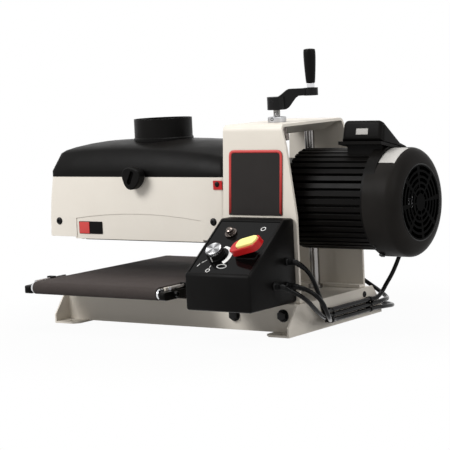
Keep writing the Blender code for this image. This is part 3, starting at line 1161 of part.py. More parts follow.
def conveyor(root, idler, drive):
    """Bed, endless belt, rollers, take-ups and the feed gearmotor."""
    middle = DRUM_CENTRE_X
    inner = BED_OUTER - BED_SIDE
    front_end = -CONVEYOR_FRONT + ROLLER_DIAMETER / 2 + BED_ROOM
    rear_end = CONVEYOR_REAR - ROLLER_DIAMETER / 2 - BED_ROOM
    plate = block((middle - BED_OUTER, front_end, BED_TOP - BED_PLATE), (middle + BED_OUTER, rear_end, BED_TOP))
    hang = ROLLER_Z - ROLLER_DIAMETER / 2 - BELT
    rear_cheek = CONVEYOR_REAR + ROLLER_DIAMETER
    leg = LEG_Y
    rest = DECK_HEIGHT + GAP
    outline = [(front_end, hang), (-leg, hang), (-leg + 2 * BED_ROOM, rest), (leg - 2 * BED_ROOM, rest),
               (leg, hang), (rear_cheek, hang), (rear_cheek, BED_TOP), (front_end, BED_TOP)]
    sides = [prism(outline, "X", middle + min(side * inner, side * BED_OUTER),
                   middle + max(side * inner, side * BED_OUTER)) for side in (-1, 1)]
    bore = rod(JOURNAL_DIAMETER / 2 + RUN, -BELT_WIDTH, BELT_WIDTH, 16, "X", (middle, CONVEYOR_REAR, ROLLER_Z))
    root.add("conveyor_bed", cut(fuse(plate, *sides), bore), "cream")

    wrap = ROLLER_DIAMETER / 2 + GAP
    loops = []
    for radius in (wrap + BELT, wrap):
        around = []
        for centre, start in ((CONVEYOR_REAR, -math.pi / 2), (-CONVEYOR_FRONT, math.pi / 2)):
            turns = [start + math.pi * k / 8 for k in range(9)]
            around += [(centre + radius * math.cos(turn), ROLLER_Z + radius * math.sin(turn)) for turn in turns]
        loops.append(around)
    shape = bmesh.new()
    rings = [[shape.verts.new((x, y, z)) for y, z in loops[which]]
             for which, x in ((0, middle - BELT_WIDTH / 2), (0, middle + BELT_WIDTH / 2),
                              (1, middle + BELT_WIDTH / 2), (1, middle - BELT_WIDTH / 2))]
    skin(shape, rings + rings[:1])
    root.add("conveyor_belt", outward(shape), "belt")

    end = BED_OUTER - GAP
    radius = ROLLER_DIAMETER / 2
    journal = JOURNAL_DIAMETER / 2
    outer = BED_OUTER + TAKEUP_WIDTH - SHEET
    profile = [(0.0, -outer), (journal, -outer), (journal, -end), (radius, -end), (radius, end), (journal, end),
               (journal, outer), (0.0, outer)]
    idler.add("idler_roller", turned(profile, 20, "X", (middle, -CONVEYOR_FRONT, ROLLER_Z)), "steel")
    short = inner - GAP
    shaft_end = BED_OUTER + GEARBOX_WIDTH / 2
    profile = [(0.0, -BED_OUTER), (journal, -BED_OUTER), (journal, -short), (radius, -short), (radius, short),
               (journal, short), (journal, shaft_end), (0.0, shaft_end)]
    drive.add("drive_roller", turned(profile, 20, "X", (middle, CONVEYOR_REAR, ROLLER_Z)), "steel")

    nose = -CONVEYOR_FRONT - 0.62 * TAKEUP_HEIGHT
    tall = TAKEUP_HEIGHT / 2
    for word, side in (("left", -1), ("right", 1)):
        near = middle + side * (BED_OUTER + GAP)
        far = near + side * TAKEUP_WIDTH
        tail = nose + TAKEUP_LENGTH
        outline = rounded(rectangle(nose, ROLLER_Z - tall, tail, ROLLER_Z + tall), [tall, 0.0, 0.0, tall], 5)
        arm = prism(outline, "X", min(near, far), max(near, far))
        rod_x = (near + far) / 2
        rod_z = ROLLER_Z + tall - TAKEUP_ROD / 4
        ear_y = tail - 2 * TAKEUP_ROD
        ear = block((min(near, far), ear_y, ROLLER_Z), (max(near, far), tail, rod_z + 0.8 * TAKEUP_ROD))
        axle = rod(journal + RUN, -BELT_WIDTH, BELT_WIDTH, 16, "X", (middle, -CONVEYOR_FRONT, ROLLER_Z))
        rod_start = nose + TAKEUP_HEIGHT * 1.3
        thread = rod(TAKEUP_ROD / 2 + GAP, rod_start - GAP, tail + SHEET, 16, "Y", (rod_x, 0.0, rod_z))
        root.add("takeup_bracket_" + word, cut(fuse(arm, ear), axle, thread), "black")
        screw = rod(TAKEUP_ROD / 2, rod_start, tail + 4 * TAKEUP_ROD, 16, "Y", (rod_x, 0.0, rod_z))
        root.add("takeup_screw_" + word, screw, "steel")

    left = middle + BED_OUTER + GAP
    half = GEARBOX / 2
    outline = rounded(rectangle(CONVEYOR_REAR - half, ROLLER_Z - half * 0.8, CONVEYOR_REAR + half * 1.2,
                                ROLLER_Z + half), half / 4, 3)
    case = prism(outline, "X", left, left + GEARBOX_WIDTH)
    can_axis = Vector((0.0, CONVEYOR_REAR + SHEET, ROLLER_Z))
    can_start = left + GEARBOX_WIDTH / 2
    can_end = left + GEARBOX_WIDTH + FEED_LENGTH
    can = turned([(0.0, can_start), (FEED_CAN / 2, can_start), (FEED_CAN / 2, can_end - SHEET),
                  (FEED_CAN / 2 - SHEET, can_end), (0.0, can_end)], 24, "X", can_axis)
    nub = rod(GLAND_DIAMETER / 2, can_end - SHEET, can_end + GLAND_LENGTH, 16, "X", can_axis)
    socket = rod(journal + RUN, left - SHEET, middle + shaft_end + SHEET, 16, "X",
                 (0.0, CONVEYOR_REAR, ROLLER_Z))
    root.add("feed_gearmotor", cut(fuse(case, can, nub), socket), "black")
    return can_axis + Vector((can_end + GLAND_LENGTH, 0.0, 0.0))


def controls(root, dial, paddle, key, reset):
    """Control box with its recessed panel, speed dial, locking paddle switch and overload reset."""
    top = CONTROL_BOTTOM + CONTROL_HEIGHT
    profile = [(CONTROL_BACK, CONTROL_BOTTOM), (CONTROL_NOSE, CONTROL_BOTTOM),
               (CONTROL_NOSE, CONTROL_BOTTOM + CONTROL_FRONT), (CONTROL_BACK - CONTROL_SHELF, top),
               (CONTROL_BACK, top)]
    case = prism(profile, "X", CONTROL_X - CONTROL_WIDTH / 2, CONTROL_SIDE)
    half = CONTROL_WIDTH / 2 - CONTROL_RIM
    outline = rectangle(-half, CONTROL_RIM, half, PANEL_SLOPE - CONTROL_RIM)
    recess = moved(prism(outline, "Z", -CONTROL_RECESS, CONTROL_RECESS), PANEL_FRAME)
    root.add("control_box", cut(soften(case, CONTROL_RIM * 0.7, 2), recess), "black")
    plate = prism(rectangle(-half + GAP, CONTROL_RIM + GAP, half - GAP, PANEL_SLOPE - CONTROL_RIM - GAP), "Z",
                  -CONTROL_RECESS + GAP, PLATE_FACE)
    stand_x = PADDLE_LENGTH * PEDESTAL_SHARE / 2
    stand_y = PADDLE_WIDTH * 0.4
    stand = rounded(rectangle(PADDLE_PLACE[0] - stand_x, PADDLE_PLACE[1] - stand_y,
                              PADDLE_PLACE[0] + stand_x, PADDLE_PLACE[1] + stand_y), SHEET, 2)
    pedestal = prism(stand, "Z", -CONTROL_RECESS + 2 * GAP, PLATE_FACE + PEDESTAL)
    root.add("control_panel", moved(fuse(plate, pedestal), PANEL_FRAME), "black")

    base = PLATE_FACE + GAP
    radius = DIAL_DIAMETER / 2
    top_w = base + DIAL_HEIGHT
    skirt = base + DIAL_HEIGHT * 0.15
    knob = turned([(0.0, base), (radius, base), (radius, skirt), (radius * 0.95, skirt + DIAL_CAP / 2),
                   (radius * 0.92, top_w), (0.0, top_w)], 28, "Z", (*DIAL_PLACE, 0.0))
    dial.add("speed_dial", moved(knob, PANEL_FRAME), "black")
    cap = rod(radius * 0.9, top_w + GAP, top_w + GAP + DIAL_CAP, 28, "Z", (*DIAL_PLACE, 0.0))
    dial.add("speed_dial_cap", moved(cap, PANEL_FRAME), "aluminium")

    tilt = Matrix.Translation(PADDLE_HINGE) @ Matrix.Rotation(math.radians(-PADDLE_TILT), 4, "Y")
    heel = PADDLE_LENGTH * 0.08
    lever_outline = rounded(rectangle(-heel, -PADDLE_WIDTH / 2, PADDLE_LENGTH - heel, PADDLE_WIDTH / 2),
                            PADDLE_WIDTH * 0.49, 4)
    lift = PADDLE_THICK * 0.15
    lever = prism(lever_outline, "Z", lift, lift + PADDLE_THICK)
    key_start = PADDLE_LENGTH * 0.18
    key_end = key_start + KEY_LENGTH
    key_half = KEY_WIDTH / 2
    key_outline = rounded(rectangle(key_start, -key_half, key_end, key_half), KEY_WIDTH * 0.49, 3)
    seat_outline = rounded(rectangle(key_start - GAP, -key_half - GAP, key_end + GAP, key_half + GAP),
                           KEY_WIDTH * 0.49, 3)
    key_low = lift + PADDLE_THICK - KEY_THICK * 0.6
    seat = prism(seat_outline, "Z", key_low - GAP, lift + 2 * PADDLE_THICK)
    paddle.add("switch_paddle", moved(cut(lever, seat), PANEL_FRAME @ tilt), "red", PADDLE_THICK / 10, 1)
    key_piece = prism(key_outline, "Z", key_low, key_low + KEY_THICK)
    key.add("safety_key", moved(key_piece, PANEL_FRAME @ tilt), "yellow", KEY_THICK / 9, 1)

    radius = RESET_DIAMETER / 2
    bore = radius + RUN
    wide = radius * 1.75
    neck = radius * 1.3
    nut = turned([(bore, base), (wide, base), (wide, base + SHEET), (neck, base + SHEET), (neck, base + 2 * SHEET),
                  (bore, base + 2 * SHEET)], 16, "Z", (*RESET_PLACE, 0.0))
    root.add("reset_collar", moved(nut, PANEL_FRAME), "chrome")
    button = turned([(0.0, base + SHEET), (radius, base + SHEET), (radius, base + 3.2 * SHEET),
                     (radius * 0.6, base + 3.7 * SHEET), (0.0, base + 3.8 * SHEET)], 20, "Z",
                    (*RESET_PLACE, 0.0))
    reset.add("reset_button", moved(button, PANEL_FRAME), "chrome")


def gland(root, name, place):
    """Cable gland on the control box's motor-side face."""
    radius = GLAND_DIAMETER / 2
    low = CONTROL_SIDE + GAP
    profile = [(0.0, low), (radius, low), (radius, low + GLAND_LENGTH * 0.35),
               (radius * 0.75, low + GLAND_LENGTH * 0.45), (radius * 0.62, low + GLAND_LENGTH),
               (0.0, low + GLAND_LENGTH)]
    root.add(name, turned(profile, 16, "X", (0.0, *place)), "rubber")
    return Vector((low + GLAND_LENGTH + GAP, *place))


def cords(root, feed_end):
    """Motor lead, feed lead and mains cord along the base's end plate; the spare mains length is coiled."""
    plate = BASE_X + CORD / 2 + CORD_LIE
    spacing = 2.9 * CORD
    stub = Vector((CORD, 0.0, 0.0))
    motor_start = gland(root, "gland_motor", (-0.126, 0.118))
    feed_start = gland(root, "gland_feed", (-0.164, 0.084))
    mains_start = gland(root, "gland_mains", (-0.128, 0.080))

    junction = Vector((INLET_X, BOX_Y + BOX_DEPTH / 2 + GLAND_LENGTH + GAP, INLET_Z))
    split = Vector((plate + 0.004, 0.128, 0.034))
    climb = Vector((0.0, 0.8, 0.6))
    lead = [motor_start, motor_start + stub, (0.259, -0.108, 0.098), (0.262, -0.085, 0.058),
            (0.2525, -0.060, 0.031), (plate, -0.035, 0.028), (plate, 0.030, 0.028), (plate, 0.100, 0.028),
            split - CORD * climb, split]
    route, length = smooth_route(lead, spacing)
    tube("motor_lead", route, CORD, root, 2)
    print("motor lead, fixed part", round(length, 3))
    rise = split + GAP * climb
    riser = [rise, rise + CORD * climb, (0.262, 0.150, 0.072), (0.285, 0.150, 0.125), (0.312, 0.140, 0.195),
             (0.326, 0.110, 0.251), (INLET_X, 0.070, 0.276), junction + Vector((0.0, CORD, 0.0)), junction]
    route, length = smooth_route(riser, spacing)
    tube("motor_lead_riser", route, CORD, root, 2)
    print("motor lead, rising part", round(length, 3))

    arrive = feed_end + Vector((GAP, 0.0, 0.0))
    feed = [feed_start, feed_start + stub, (0.268, -0.140, 0.064), (0.2650, -0.100, 0.038),
            (0.2535, -0.062, 0.022), (plate, -0.033, 0.0195), (plate, 0.040, 0.0195), (plate, 0.110, 0.0195),
            (plate - 0.001, 0.142, 0.020), (0.226, 0.172, 0.021), (0.196, 0.184, 0.027), (0.172, 0.176, 0.043),
            (0.156, 0.164, 0.060), arrive + stub, arrive]
    route, length = smooth_route(feed, spacing)
    tube("feed_lead", route, CORD, root, 2)
    print("feed lead", round(length, 3))

    floor = CORD / 2 + GAP
    coil, start, end = coil_route(floor)
    mains = [mains_start, mains_start + stub, (0.270, -0.112, 0.062), (0.2695, -0.085, 0.032),
             (0.2560, -0.056, 0.0145), (plate, -0.028, 0.011), (plate, 0.040, 0.011), (plate, 0.110, 0.011),
             (plate + 0.001, 0.150, 0.009), (0.236, 0.185, 0.0055), (0.212, 0.207, floor), (0.180, 0.218, floor),
             start + stub, start]
    route, length = smooth_route(mains, spacing)
    tube("mains_cord", route, CORD, root, 2)
    tube("mains_coil", coil, CORD, root, 1)
    coil_length = sum((ahead - here).length for here, ahead in zip(coil, coil[1:]))
    print("mains cord", round(length, 3), "coil", round(coil_length, 3))
    print("least gap in coil", round(self_gap(coil) - CORD, 5))
    plug(root, end)


def coil_route(floor):
    """Two layers of loops: in along the lower layer, out again along the upper one."""
    per_layer = COIL_LOOPS // 2
    points = []
    for k in range(COIL_LOOPS * COIL_STEPS + 1):
        turns = k / COIL_STEPS
        inward = min(turns, per_layer)
        outward_turns = max(0.0, turns - per_layer)
        radius = COIL_OUTER - COIL_PITCH * (inward - outward_turns)
        climb = ease((turns - per_layer + 0.25) / 0.5)
        angle = math.pi / 2 + math.tau * turns
        points.append(Vector((COIL_CENTRE[0] + radius * math.cos(angle),
                              COIL_CENTRE[1] + radius * math.sin(angle), floor + COIL_LAYER * climb)))
    lead_in = points[0]
    start = lead_in + Vector((2 * CORD, 0.0, 0.0))
    last = points[-1]
    drop = last.z - PLUG_HEIGHT / 2 - GAP
    tail = []
    for k in range(1, TAIL_STEPS + 1):
        share = k / TAIL_STEPS
        tail.append(last + Vector((-TAIL_LENGTH * share, 0.0, -drop * ease(share))))
    end = tail[-1]
    return [start, lead_in + Vector((CORD, 0.0, 0.0)), *points, *tail], start + Vector((GAP, 0.0, 0.0)), end


def self_gap(route):
    """Least distance between parts of the route that aren't neighbours along it."""
    least = 1.0
    window = 12
    for here in range(len(route)):
        for other in range(here + window, len(route)):
            least = min(least, (route[here] - route[other]).length)
    return least


def plug(root, end):
    """Moulded three-pin plug lying on the floor at the cord's end."""
    back = end.x - GAP
    face = back - PLUG_LENGTH
    waist = back - PLUG_LENGTH * 0.4
    half = PLUG_WIDTH / 2
    neck = CORD * 0.8
    outline = rounded([(back, end.y - neck), (back, end.y + neck), (waist, end.y + half), (face, end.y + half),
                       (face, end.y - half), (waist, end.y - half)], SHEET, 3)
    low = end.z - PLUG_HEIGHT / 2
    body = prism(outline, "Z", low, low + PLUG_HEIGHT)
    tip = face - BLADE_LENGTH
    pins = []
    for side in (-1, 1):
        centre = end.y + side * BLADE_SPACING / 2
        pins.append(block((tip, centre - BLADE_THICK / 2, end.z - BLADE_WIDTH / 2),
                          (face + SHEET, centre + BLADE_THICK / 2, end.z + BLADE_WIDTH / 2)))
    pins.append(rod(EARTH_DIAMETER / 2, tip - EARTH_EXTRA, face + SHEET, 12, "X",
                    (0.0, end.y, end.z + PLUG_HEIGHT * 0.3)))
    root.add("mains_plug", fuse(body, *pins), "rubber")


def settle(root):
    """Put the origin under the middle of the assembly's box, cords left out."""
    graph = bpy.context.evaluated_depsgraph_get()
    low = Vector((9.0, 9.0, 9.0))
    high = -low
    for item in bpy.data.objects:
        if item.type not in {"MESH", "CURVE"} or item.name in CORD_NODES:
            continue
        evaluated = item.evaluated_get(graph)
        mesh = evaluated.to_mesh()
        for vertex in mesh.vertices:
            place = evaluated.matrix_world @ vertex.co
            low = Vector(map(min, low, place))
            high = Vector(map(max, high, place))
        evaluated.to_mesh_clear()
    shift = -Vector(((low.x + high.x) / 2, (low.y + high.y) / 2, low.z))
    root.empty.location = shift
    print("box", [round(v, 4) for v in high - low], "shift", [round(v, 5) for v in shift])
    return shift


def main():
    clear_scene()
    root = Body("base", (0.0, 0.0, 0.0))
    axis = Vector((DRUM_CENTRE_X, 0.0, AXIS_Z))
    head = Body("head", axis, root)
    spindle = Body("spindle", axis, head)
    cover = Body("cover", (DRUM_CENTRE_X, HINGE_Y, JOINT_Z), head)
    latch = Body("latch", (DRUM_CENTRE_X + LATCH_SHIFT, -HOUSING_DEPTH / 2, JOINT_Z), cover)
    hangers = {}
    rollers = {}
    for side, word in ((-1, "infeed"), (1, "outfeed")):
        place = (DRUM_CENTRE_X, side * PRESS_Y, PRESS_Z)
        hangers[word] = Body("hanger_" + word, place, head)
        rollers[word] = Body("press_roller_" + word, place, hangers[word])
    crank_body = Body("crank", SCREW_AXIS + Vector((0.0, 0.0, HUB_Z)), root)
    grip = Body("grip", GRIP_AXIS + Vector((0.0, 0.0, BOSS_Z)), crank_body)
    idler = Body("idler", (DRUM_CENTRE_X, -CONVEYOR_FRONT, ROLLER_Z), root)
    drive = Body("drive", (DRUM_CENTRE_X, CONVEYOR_REAR, ROLLER_Z), root)
    dial = Body("dial", PANEL_FRAME @ Vector((*DIAL_PLACE, 0.0)), root)
    hinge = Vector(PADDLE_HINGE)
    paddle = Body("paddle", PANEL_FRAME @ hinge, root)
    key = Body("key", PANEL_FRAME @ hinge, paddle)
    reset = Body("reset", PANEL_FRAME @ Vector((*RESET_PLACE, 0.0)), root)

    base_frame(root)
    column_frame(root)
    guides(root)
    crank(crank_body, grip)
    head_carriage(head)
    drum_housing(head)
    bearings(head)
    motor(head)
    drum(spindle)
    pressure_rollers(hangers, rollers)
    dust_cover(cover, latch)
    feed_end = conveyor(root, idler, drive)
    controls(root, dial, paddle, key, reset)
    cords(root, feed_end)
    shift = settle(root)
    for name, pivot in (("drum axis", axis), ("screw", SCREW_AXIS), ("grip", GRIP_AXIS),
                        ("cover hinge", cover.pivot), ("latch", latch.pivot), ("idler", idler.pivot),
                        ("drive", drive.pivot), ("dial", dial.pivot), ("paddle", paddle.pivot),
                        ("reset", reset.pivot), ("infeed", hangers["infeed"].pivot),
                        ("outfeed", hangers["outfeed"].pivot)):
        print(name, [round(v, 5) for v in pivot + shift])
    for label, column in (("panel x", 0), ("panel up", 1), ("panel out", 2)):
        print(label, [round(PANEL_FRAME[row][column], 5) for row in range(3)])


main()
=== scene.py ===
# %% [markdown]
# # Dressing an open-ended drum sander
# The solids of the machine come in as a fixed frame, with one body for each group that moves together.
# This lesson adds what the solids leave out: cords, painted and moulded finishes, rounded edges, bolts,
# plates and panel marks. Each piece is told which body it rides on, so the machine still works.

# %% Load the frame
import json
import math

import bmesh
import bpy
from mathutils import Matrix, Vector

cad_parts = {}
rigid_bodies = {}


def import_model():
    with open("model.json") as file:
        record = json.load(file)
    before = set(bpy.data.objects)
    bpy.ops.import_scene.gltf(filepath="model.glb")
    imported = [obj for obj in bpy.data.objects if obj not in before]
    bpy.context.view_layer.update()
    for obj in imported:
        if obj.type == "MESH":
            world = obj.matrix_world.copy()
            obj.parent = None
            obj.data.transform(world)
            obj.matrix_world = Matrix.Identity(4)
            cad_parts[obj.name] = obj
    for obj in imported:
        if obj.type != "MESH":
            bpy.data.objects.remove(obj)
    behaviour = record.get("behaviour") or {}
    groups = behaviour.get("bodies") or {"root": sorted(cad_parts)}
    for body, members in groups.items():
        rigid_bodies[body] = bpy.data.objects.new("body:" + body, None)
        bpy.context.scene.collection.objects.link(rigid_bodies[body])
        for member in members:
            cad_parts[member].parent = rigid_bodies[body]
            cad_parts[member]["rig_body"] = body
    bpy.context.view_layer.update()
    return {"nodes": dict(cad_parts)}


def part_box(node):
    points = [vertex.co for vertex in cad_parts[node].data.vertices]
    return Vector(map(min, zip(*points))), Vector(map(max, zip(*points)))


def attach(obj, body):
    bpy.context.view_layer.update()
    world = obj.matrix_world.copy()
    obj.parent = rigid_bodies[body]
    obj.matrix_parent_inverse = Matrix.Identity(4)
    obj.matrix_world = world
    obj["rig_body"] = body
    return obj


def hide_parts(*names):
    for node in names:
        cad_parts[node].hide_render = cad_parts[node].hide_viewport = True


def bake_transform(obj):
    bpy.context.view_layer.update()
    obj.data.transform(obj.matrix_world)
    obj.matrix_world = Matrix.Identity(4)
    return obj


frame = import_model()
corner_low, corner_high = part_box("base_frame")
BASE = Vector(((corner_low.x + corner_high.x) / 2, (corner_low.y + corner_high.y) / 2, 0.0))
scene = bpy.context.scene
print("nodes", len(frame["nodes"]), "base centre", tuple(round(v, 4) for v in BASE))

# %% [markdown]
# ## Camera
# The photograph was taken from the front right with a long lens, a little above the table. A camera
# could be placed by eye, but its angles were solved from the straight edges of the base and column,
# so here they are set as three turns: round the machine, downwards, and a slight roll.

# %% Camera
AZIMUTH = math.radians(35.5)
ELEVATION = math.radians(5.65)
ROLL = math.radians(-2.66)
EYE = Vector((1.7394, -2.4035, 0.4501))
FOCAL_LENGTH = 141.06

lens = bpy.data.cameras.new("camera")
lens.lens = FOCAL_LENGTH
lens.sensor_fit = "HORIZONTAL"
camera = bpy.data.objects.new("camera", lens)
scene.collection.objects.link(camera)
camera.matrix_world = (Matrix.Translation(BASE + EYE) @ Matrix.Rotation(AZIMUTH, 4, "Z")
                       @ Matrix.Rotation(math.pi / 2 - ELEVATION, 4, "X") @ Matrix.Rotation(ROLL, 4, "Z"))
scene.camera = camera
print("camera at", tuple(round(v, 3) for v in camera.location))

# %% [markdown]
# ## Nodes
# The background and every finish are networks of nodes. Adding a node, setting its options and feeding its
# inputs takes many lines, so one function does all three. The others are the four steps used most: a sum,
# a change of range, a mix of two colours, and a split into three parts.

# %% Node helpers


def add(tree, kind, feeds=None, **options):
    """Add a node, set its options, and feed its inputs with values or with other nodes' outputs."""
    node = tree.nodes.new("ShaderNode" + kind)
    for key, value in options.items():
        setattr(node, key, value)
    for key, value in (feeds or {}).items():
        if isinstance(value, bpy.types.NodeSocket):
            tree.links.new(value, node.inputs[key])
        else:
            node.inputs[key].default_value = value
    return node


def calc(tree, operation, *values):
    return add(tree, "Math", dict(enumerate(values)), operation=operation).outputs[0]


def spread(tree, value, low, high, to_low=0.0, to_high=1.0, **options):
    """Stretch a value so that the range from low to high becomes another range."""
    return add(tree, "MapRange", {"Value": value, "From Min": low, "From Max": high, "To Min": to_low,
                                  "To Max": to_high}, **options).outputs["Result"]


def mix_colours(tree, factor, first, second):
    return add(tree, "Mix", {"Factor": factor, "A": first, "B": second}, data_type="RGBA").outputs["Result"]


def parts_of(tree, vector):
    return add(tree, "SeparateXYZ", {0: vector}).outputs


print("node helpers ready")

# %% [markdown]
# ## Floor, lights and background
# The machine stands on a white table in a bright studio. A grey floor would need strong lamps to turn
# white, and they would bleach the cream paint, so the floor and the world answer camera rays with
# plain white instead, while the lamps stay at a level where paint keeps its own colour. Near the
# machine part of the floor's own shade is kept, so that it still catches a shadow.

# %% Floor and lights
WHITE = (1.0, 1.0, 1.0, 1.0)
ROOM_COLOUR = (1.0, 0.99, 0.975, 1.0)
TABLE_GREY = (0.45, 0.45, 0.45, 1.0)
SOFTBOXES = [  # name, place, target, width, height, watts
    ("key_softbox", (-1.3, -2.6, 2.2), (0.0, 0.0, 0.2), 1.8, 1.4, 88.0),
    ("side_softbox", (2.6, -0.2, 1.5), (0.1, 0.0, 0.2), 1.2, 1.6, 20.0),
    ("top_softbox", (0.1, 0.3, 2.6), (0.0, 0.0, 0.2), 1.6, 1.2, 28.0),
]
scene.view_settings.view_transform = "Standard"


def seen_rays(tree):
    """A mask that is one for rays which show the background: camera, mirror and glass rays."""
    path = add(tree, "LightPath").outputs
    straight = calc(tree, "MAXIMUM", path["Is Camera Ray"], path["Is Glossy Ray"])
    return calc(tree, "MAXIMUM", straight, path["Is Transmission Ray"])


def empty_tree(owner):
    owner.use_nodes = True
    owner.node_tree.nodes.clear()
    return owner.node_tree


def build_world(room_level):
    scene.world = bpy.data.worlds.new("studio")
    tree = empty_tree(scene.world)
    room = add(tree, "Background", {"Color": ROOM_COLOUR, "Strength": room_level})
    white = add(tree, "Background", {"Color": WHITE, "Strength": 1.0})
    mix = add(tree, "MixShader", {"Fac": seen_rays(tree), 1: room.outputs[0], 2: white.outputs[0]})
    add(tree, "OutputWorld", {"Surface": mix.outputs[0]})


def build_floor(half, glow, near, far):
    """A white floor whose own shade fades to plain white between two distances from the machine."""
    bpy.ops.object.select_all(action="DESELECT")
    bpy.ops.mesh.primitive_plane_add(size=2 * half, location=(0.0, 0.0, 0.0))
    floor = bpy.context.object
    floor.name = "floor"
    table = bpy.data.materials.new("white_table")
    tree = empty_tree(table)
    place = add(tree, "TexCoord").outputs["Object"]
    distance = add(tree, "VectorMath", {0: place}, operation="LENGTH").outputs["Value"]
    fade = spread(tree, distance, near, far, glow, 1.0, interpolation_type="SMOOTHSTEP")
    share = calc(tree, "MULTIPLY", seen_rays(tree), fade)
    matt = add(tree, "BsdfDiffuse", {"Color": TABLE_GREY})
    mix = add(tree, "MixShader", {"Fac": share, 1: matt.outputs[0], 2: add(tree, "Emission").outputs[0]})
    add(tree, "OutputMaterial", {"Surface": mix.outputs[0]})
    floor.data.materials.append(table)


def softbox(name, place, target, width, height, watts):
    lamp = bpy.data.lights.new(name, "AREA")
    lamp.shape = "RECTANGLE"
    lamp.size = width
    lamp.size_y = height
    lamp.energy = watts
    item = bpy.data.objects.new(name, lamp)
    scene.collection.objects.link(item)
    item.location = place
    item.rotation_euler = (Vector(target) - Vector(place)).to_track_quat("-Z", "Y").to_euler()


build_world(room_level=0.34)
build_floor(half=12.0, glow=0.96, near=0.30, far=0.62)
for row in SOFTBOXES:
    softbox(*row)

# %% [markdown]
# ## Selecting and shaping
# Modelling by hand means selecting faces or edges and using an operator on them. These short helpers
# do the selecting in code. Every one begins by deselecting all, because an operator acts on whatever is
# selected, and the frame's own solids come in selected.

# %% Selection helpers
KINDS = {"verts": "VERT", "edges": "EDGE", "faces": "FACE"}
WELD = 0.00001
EDGE_ANGLE = 38.0
EDGE_STEPS = 2


def only(item):
    """Make one object the only selected and active one."""
    if bpy.context.object and bpy.context.object.mode != "OBJECT":
        bpy.ops.object.mode_set(mode="OBJECT")
    bpy.ops.object.select_all(action="DESELECT")
    item.hide_viewport = False
    item.select_set(True)
    bpy.context.view_layer.objects.active = item


def edit(item, kind="faces"):
    only(item)
    bpy.ops.object.mode_set(mode="EDIT")
    bpy.ops.mesh.select_mode(type=KINDS[kind])
    bpy.ops.mesh.select_all(action="DESELECT")


def choose(item, kind, test):
    """In edit mode, select the faces, edges or verts that pass the test."""
    mesh = bmesh.from_edit_mesh(item.data)
    mesh.normal_update()
    for each in getattr(mesh, kind):
        if test(each):
            each.select_set(True)
    mesh.select_flush(True)
    bmesh.update_edit_mesh(item.data)


def pick(item, kind, test):
    """Enter edit mode and select what passes the test."""
    edit(item, kind)
    choose(item, kind, test)


def everything():
    bpy.ops.mesh.select_all(action="SELECT")


def weld():
    """In edit mode, merge all corners that share a place."""
    everything()
    bpy.ops.mesh.remove_doubles(threshold=WELD)


def drop_faces():
    bpy.ops.mesh.delete(type="FACE")


def move(x, y, z):
    bpy.ops.transform.translate(value=(x, y, z))


def leave():
    bpy.ops.object.mode_set(mode="OBJECT")


def freeze(item):
    only(item)
    bpy.ops.object.transform_apply(location=True, rotation=True, scale=True)


def new_object(name, data):
    made = bpy.data.objects.new(name, data)
    scene.collection.objects.link(made)
    return made


def start(operator, scale=(1.0, 1.0, 1.0), **settings):
    """Begin a piece from one of Blender's simple shapes, with its place and size kept in its mesh."""
    bpy.ops.object.select_all(action="DESELECT")
    operator(**settings)
    made = bpy.context.object
    made.scale = scale
    freeze(made)
    return made


def as_mesh(item):
    only(item)
    bpy.ops.object.convert(target="MESH")
    return bpy.context.object


def apply_modifier(item, kind, **settings):
    only(item)
    made = item.modifiers.new(kind.lower(), kind)
    for key, value in settings.items():
        setattr(made, key, value)
    bpy.ops.object.modifier_apply(modifier=made.name)


def smooth(item, degrees):
    only(item)
    bpy.ops.object.shade_smooth_by_angle(angle=math.radians(degrees))


def round_edges(item, width, angle=EDGE_ANGLE):
    smooth(item, angle)
    if width > 0.0:
        apply_modifier(item, "BEVEL", width=width, segments=EDGE_STEPS, limit_method="ANGLE",
                       angle_limit=math.radians(angle), use_clamp_overlap=True, harden_normals=True)


def shape(item, kind, test, operator, **settings):
    """Select what passes the test, and use one operator on it."""
    pick(item, kind, test)
    operator(**settings)
    leave()


def bevel_edges(item, test, offset, steps):
    shape(item, "edges", test, bpy.ops.mesh.bevel, offset=offset, segments=steps, affect="EDGES")


def thicken(item, thickness, offset=1.0):
    apply_modifier(item, "SOLIDIFY", thickness=thickness, offset=offset)


def turn_outwards(item, plane):
    """Turn a wall's faces away from its axis, if they look towards it."""
    face = item.data.polygons[0]
    if getattr(face.center, plane).dot(getattr(face.normal, plane)) < 0.0:
        item.data.flip_normals()


def forget_shading(item):
    """Drop the normals and sharp marks that came with a solid."""
    for attribute in ("custom_normal", "sharp_edge", "sharp_face"):
        if attribute in item.data.attributes:
            item.data.attributes.remove(item.data.attributes[attribute])


def seat(item, name, body, finish_used, stands_for=()):
    """Name a finished piece, give it its finish, and let it ride on its body."""
    item.name = name
    item.data.name = name
    item.data.materials.clear()
    item.data.materials.append(finish_used)
    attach(item, body)
    for node in stands_for:
        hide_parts(node)
    return item


print("helpers ready")

# %% [markdown]
# ## Finishes
# Paint, cast iron, moulded plastic and rubber differ mostly in how the colour drifts over the surface,
# how the gloss drifts, how fine and deep the grain is, and how much dust settles on top. Each of these
# is a node group that every finish shares with its own numbers, which is easier to tune than a separate
# network for each finish.

# %% Shared effects
SOCKETS = {"Place": "Vector", "Facing": "Vector", "Normal": "Vector", "Colour": "Color", "Shade": "Color"}


def effect(name, inputs, output, build):
    """A node group with one output, which is fed by what the build function gives back."""
    made = bpy.data.node_groups.new(name, "ShaderNodeTree")
    for way, labels in (("INPUT", inputs.split()), ("OUTPUT", [output])):
        for label in labels:
            kind = "NodeSocket" + SOCKETS.get(label, "Float")
            made.interface.new_socket(label, in_out=way, socket_type=kind)
    source = build(made, made.nodes.new("NodeGroupInput").outputs)
    made.links.new(source, made.nodes.new("NodeGroupOutput").inputs[output])
    return made


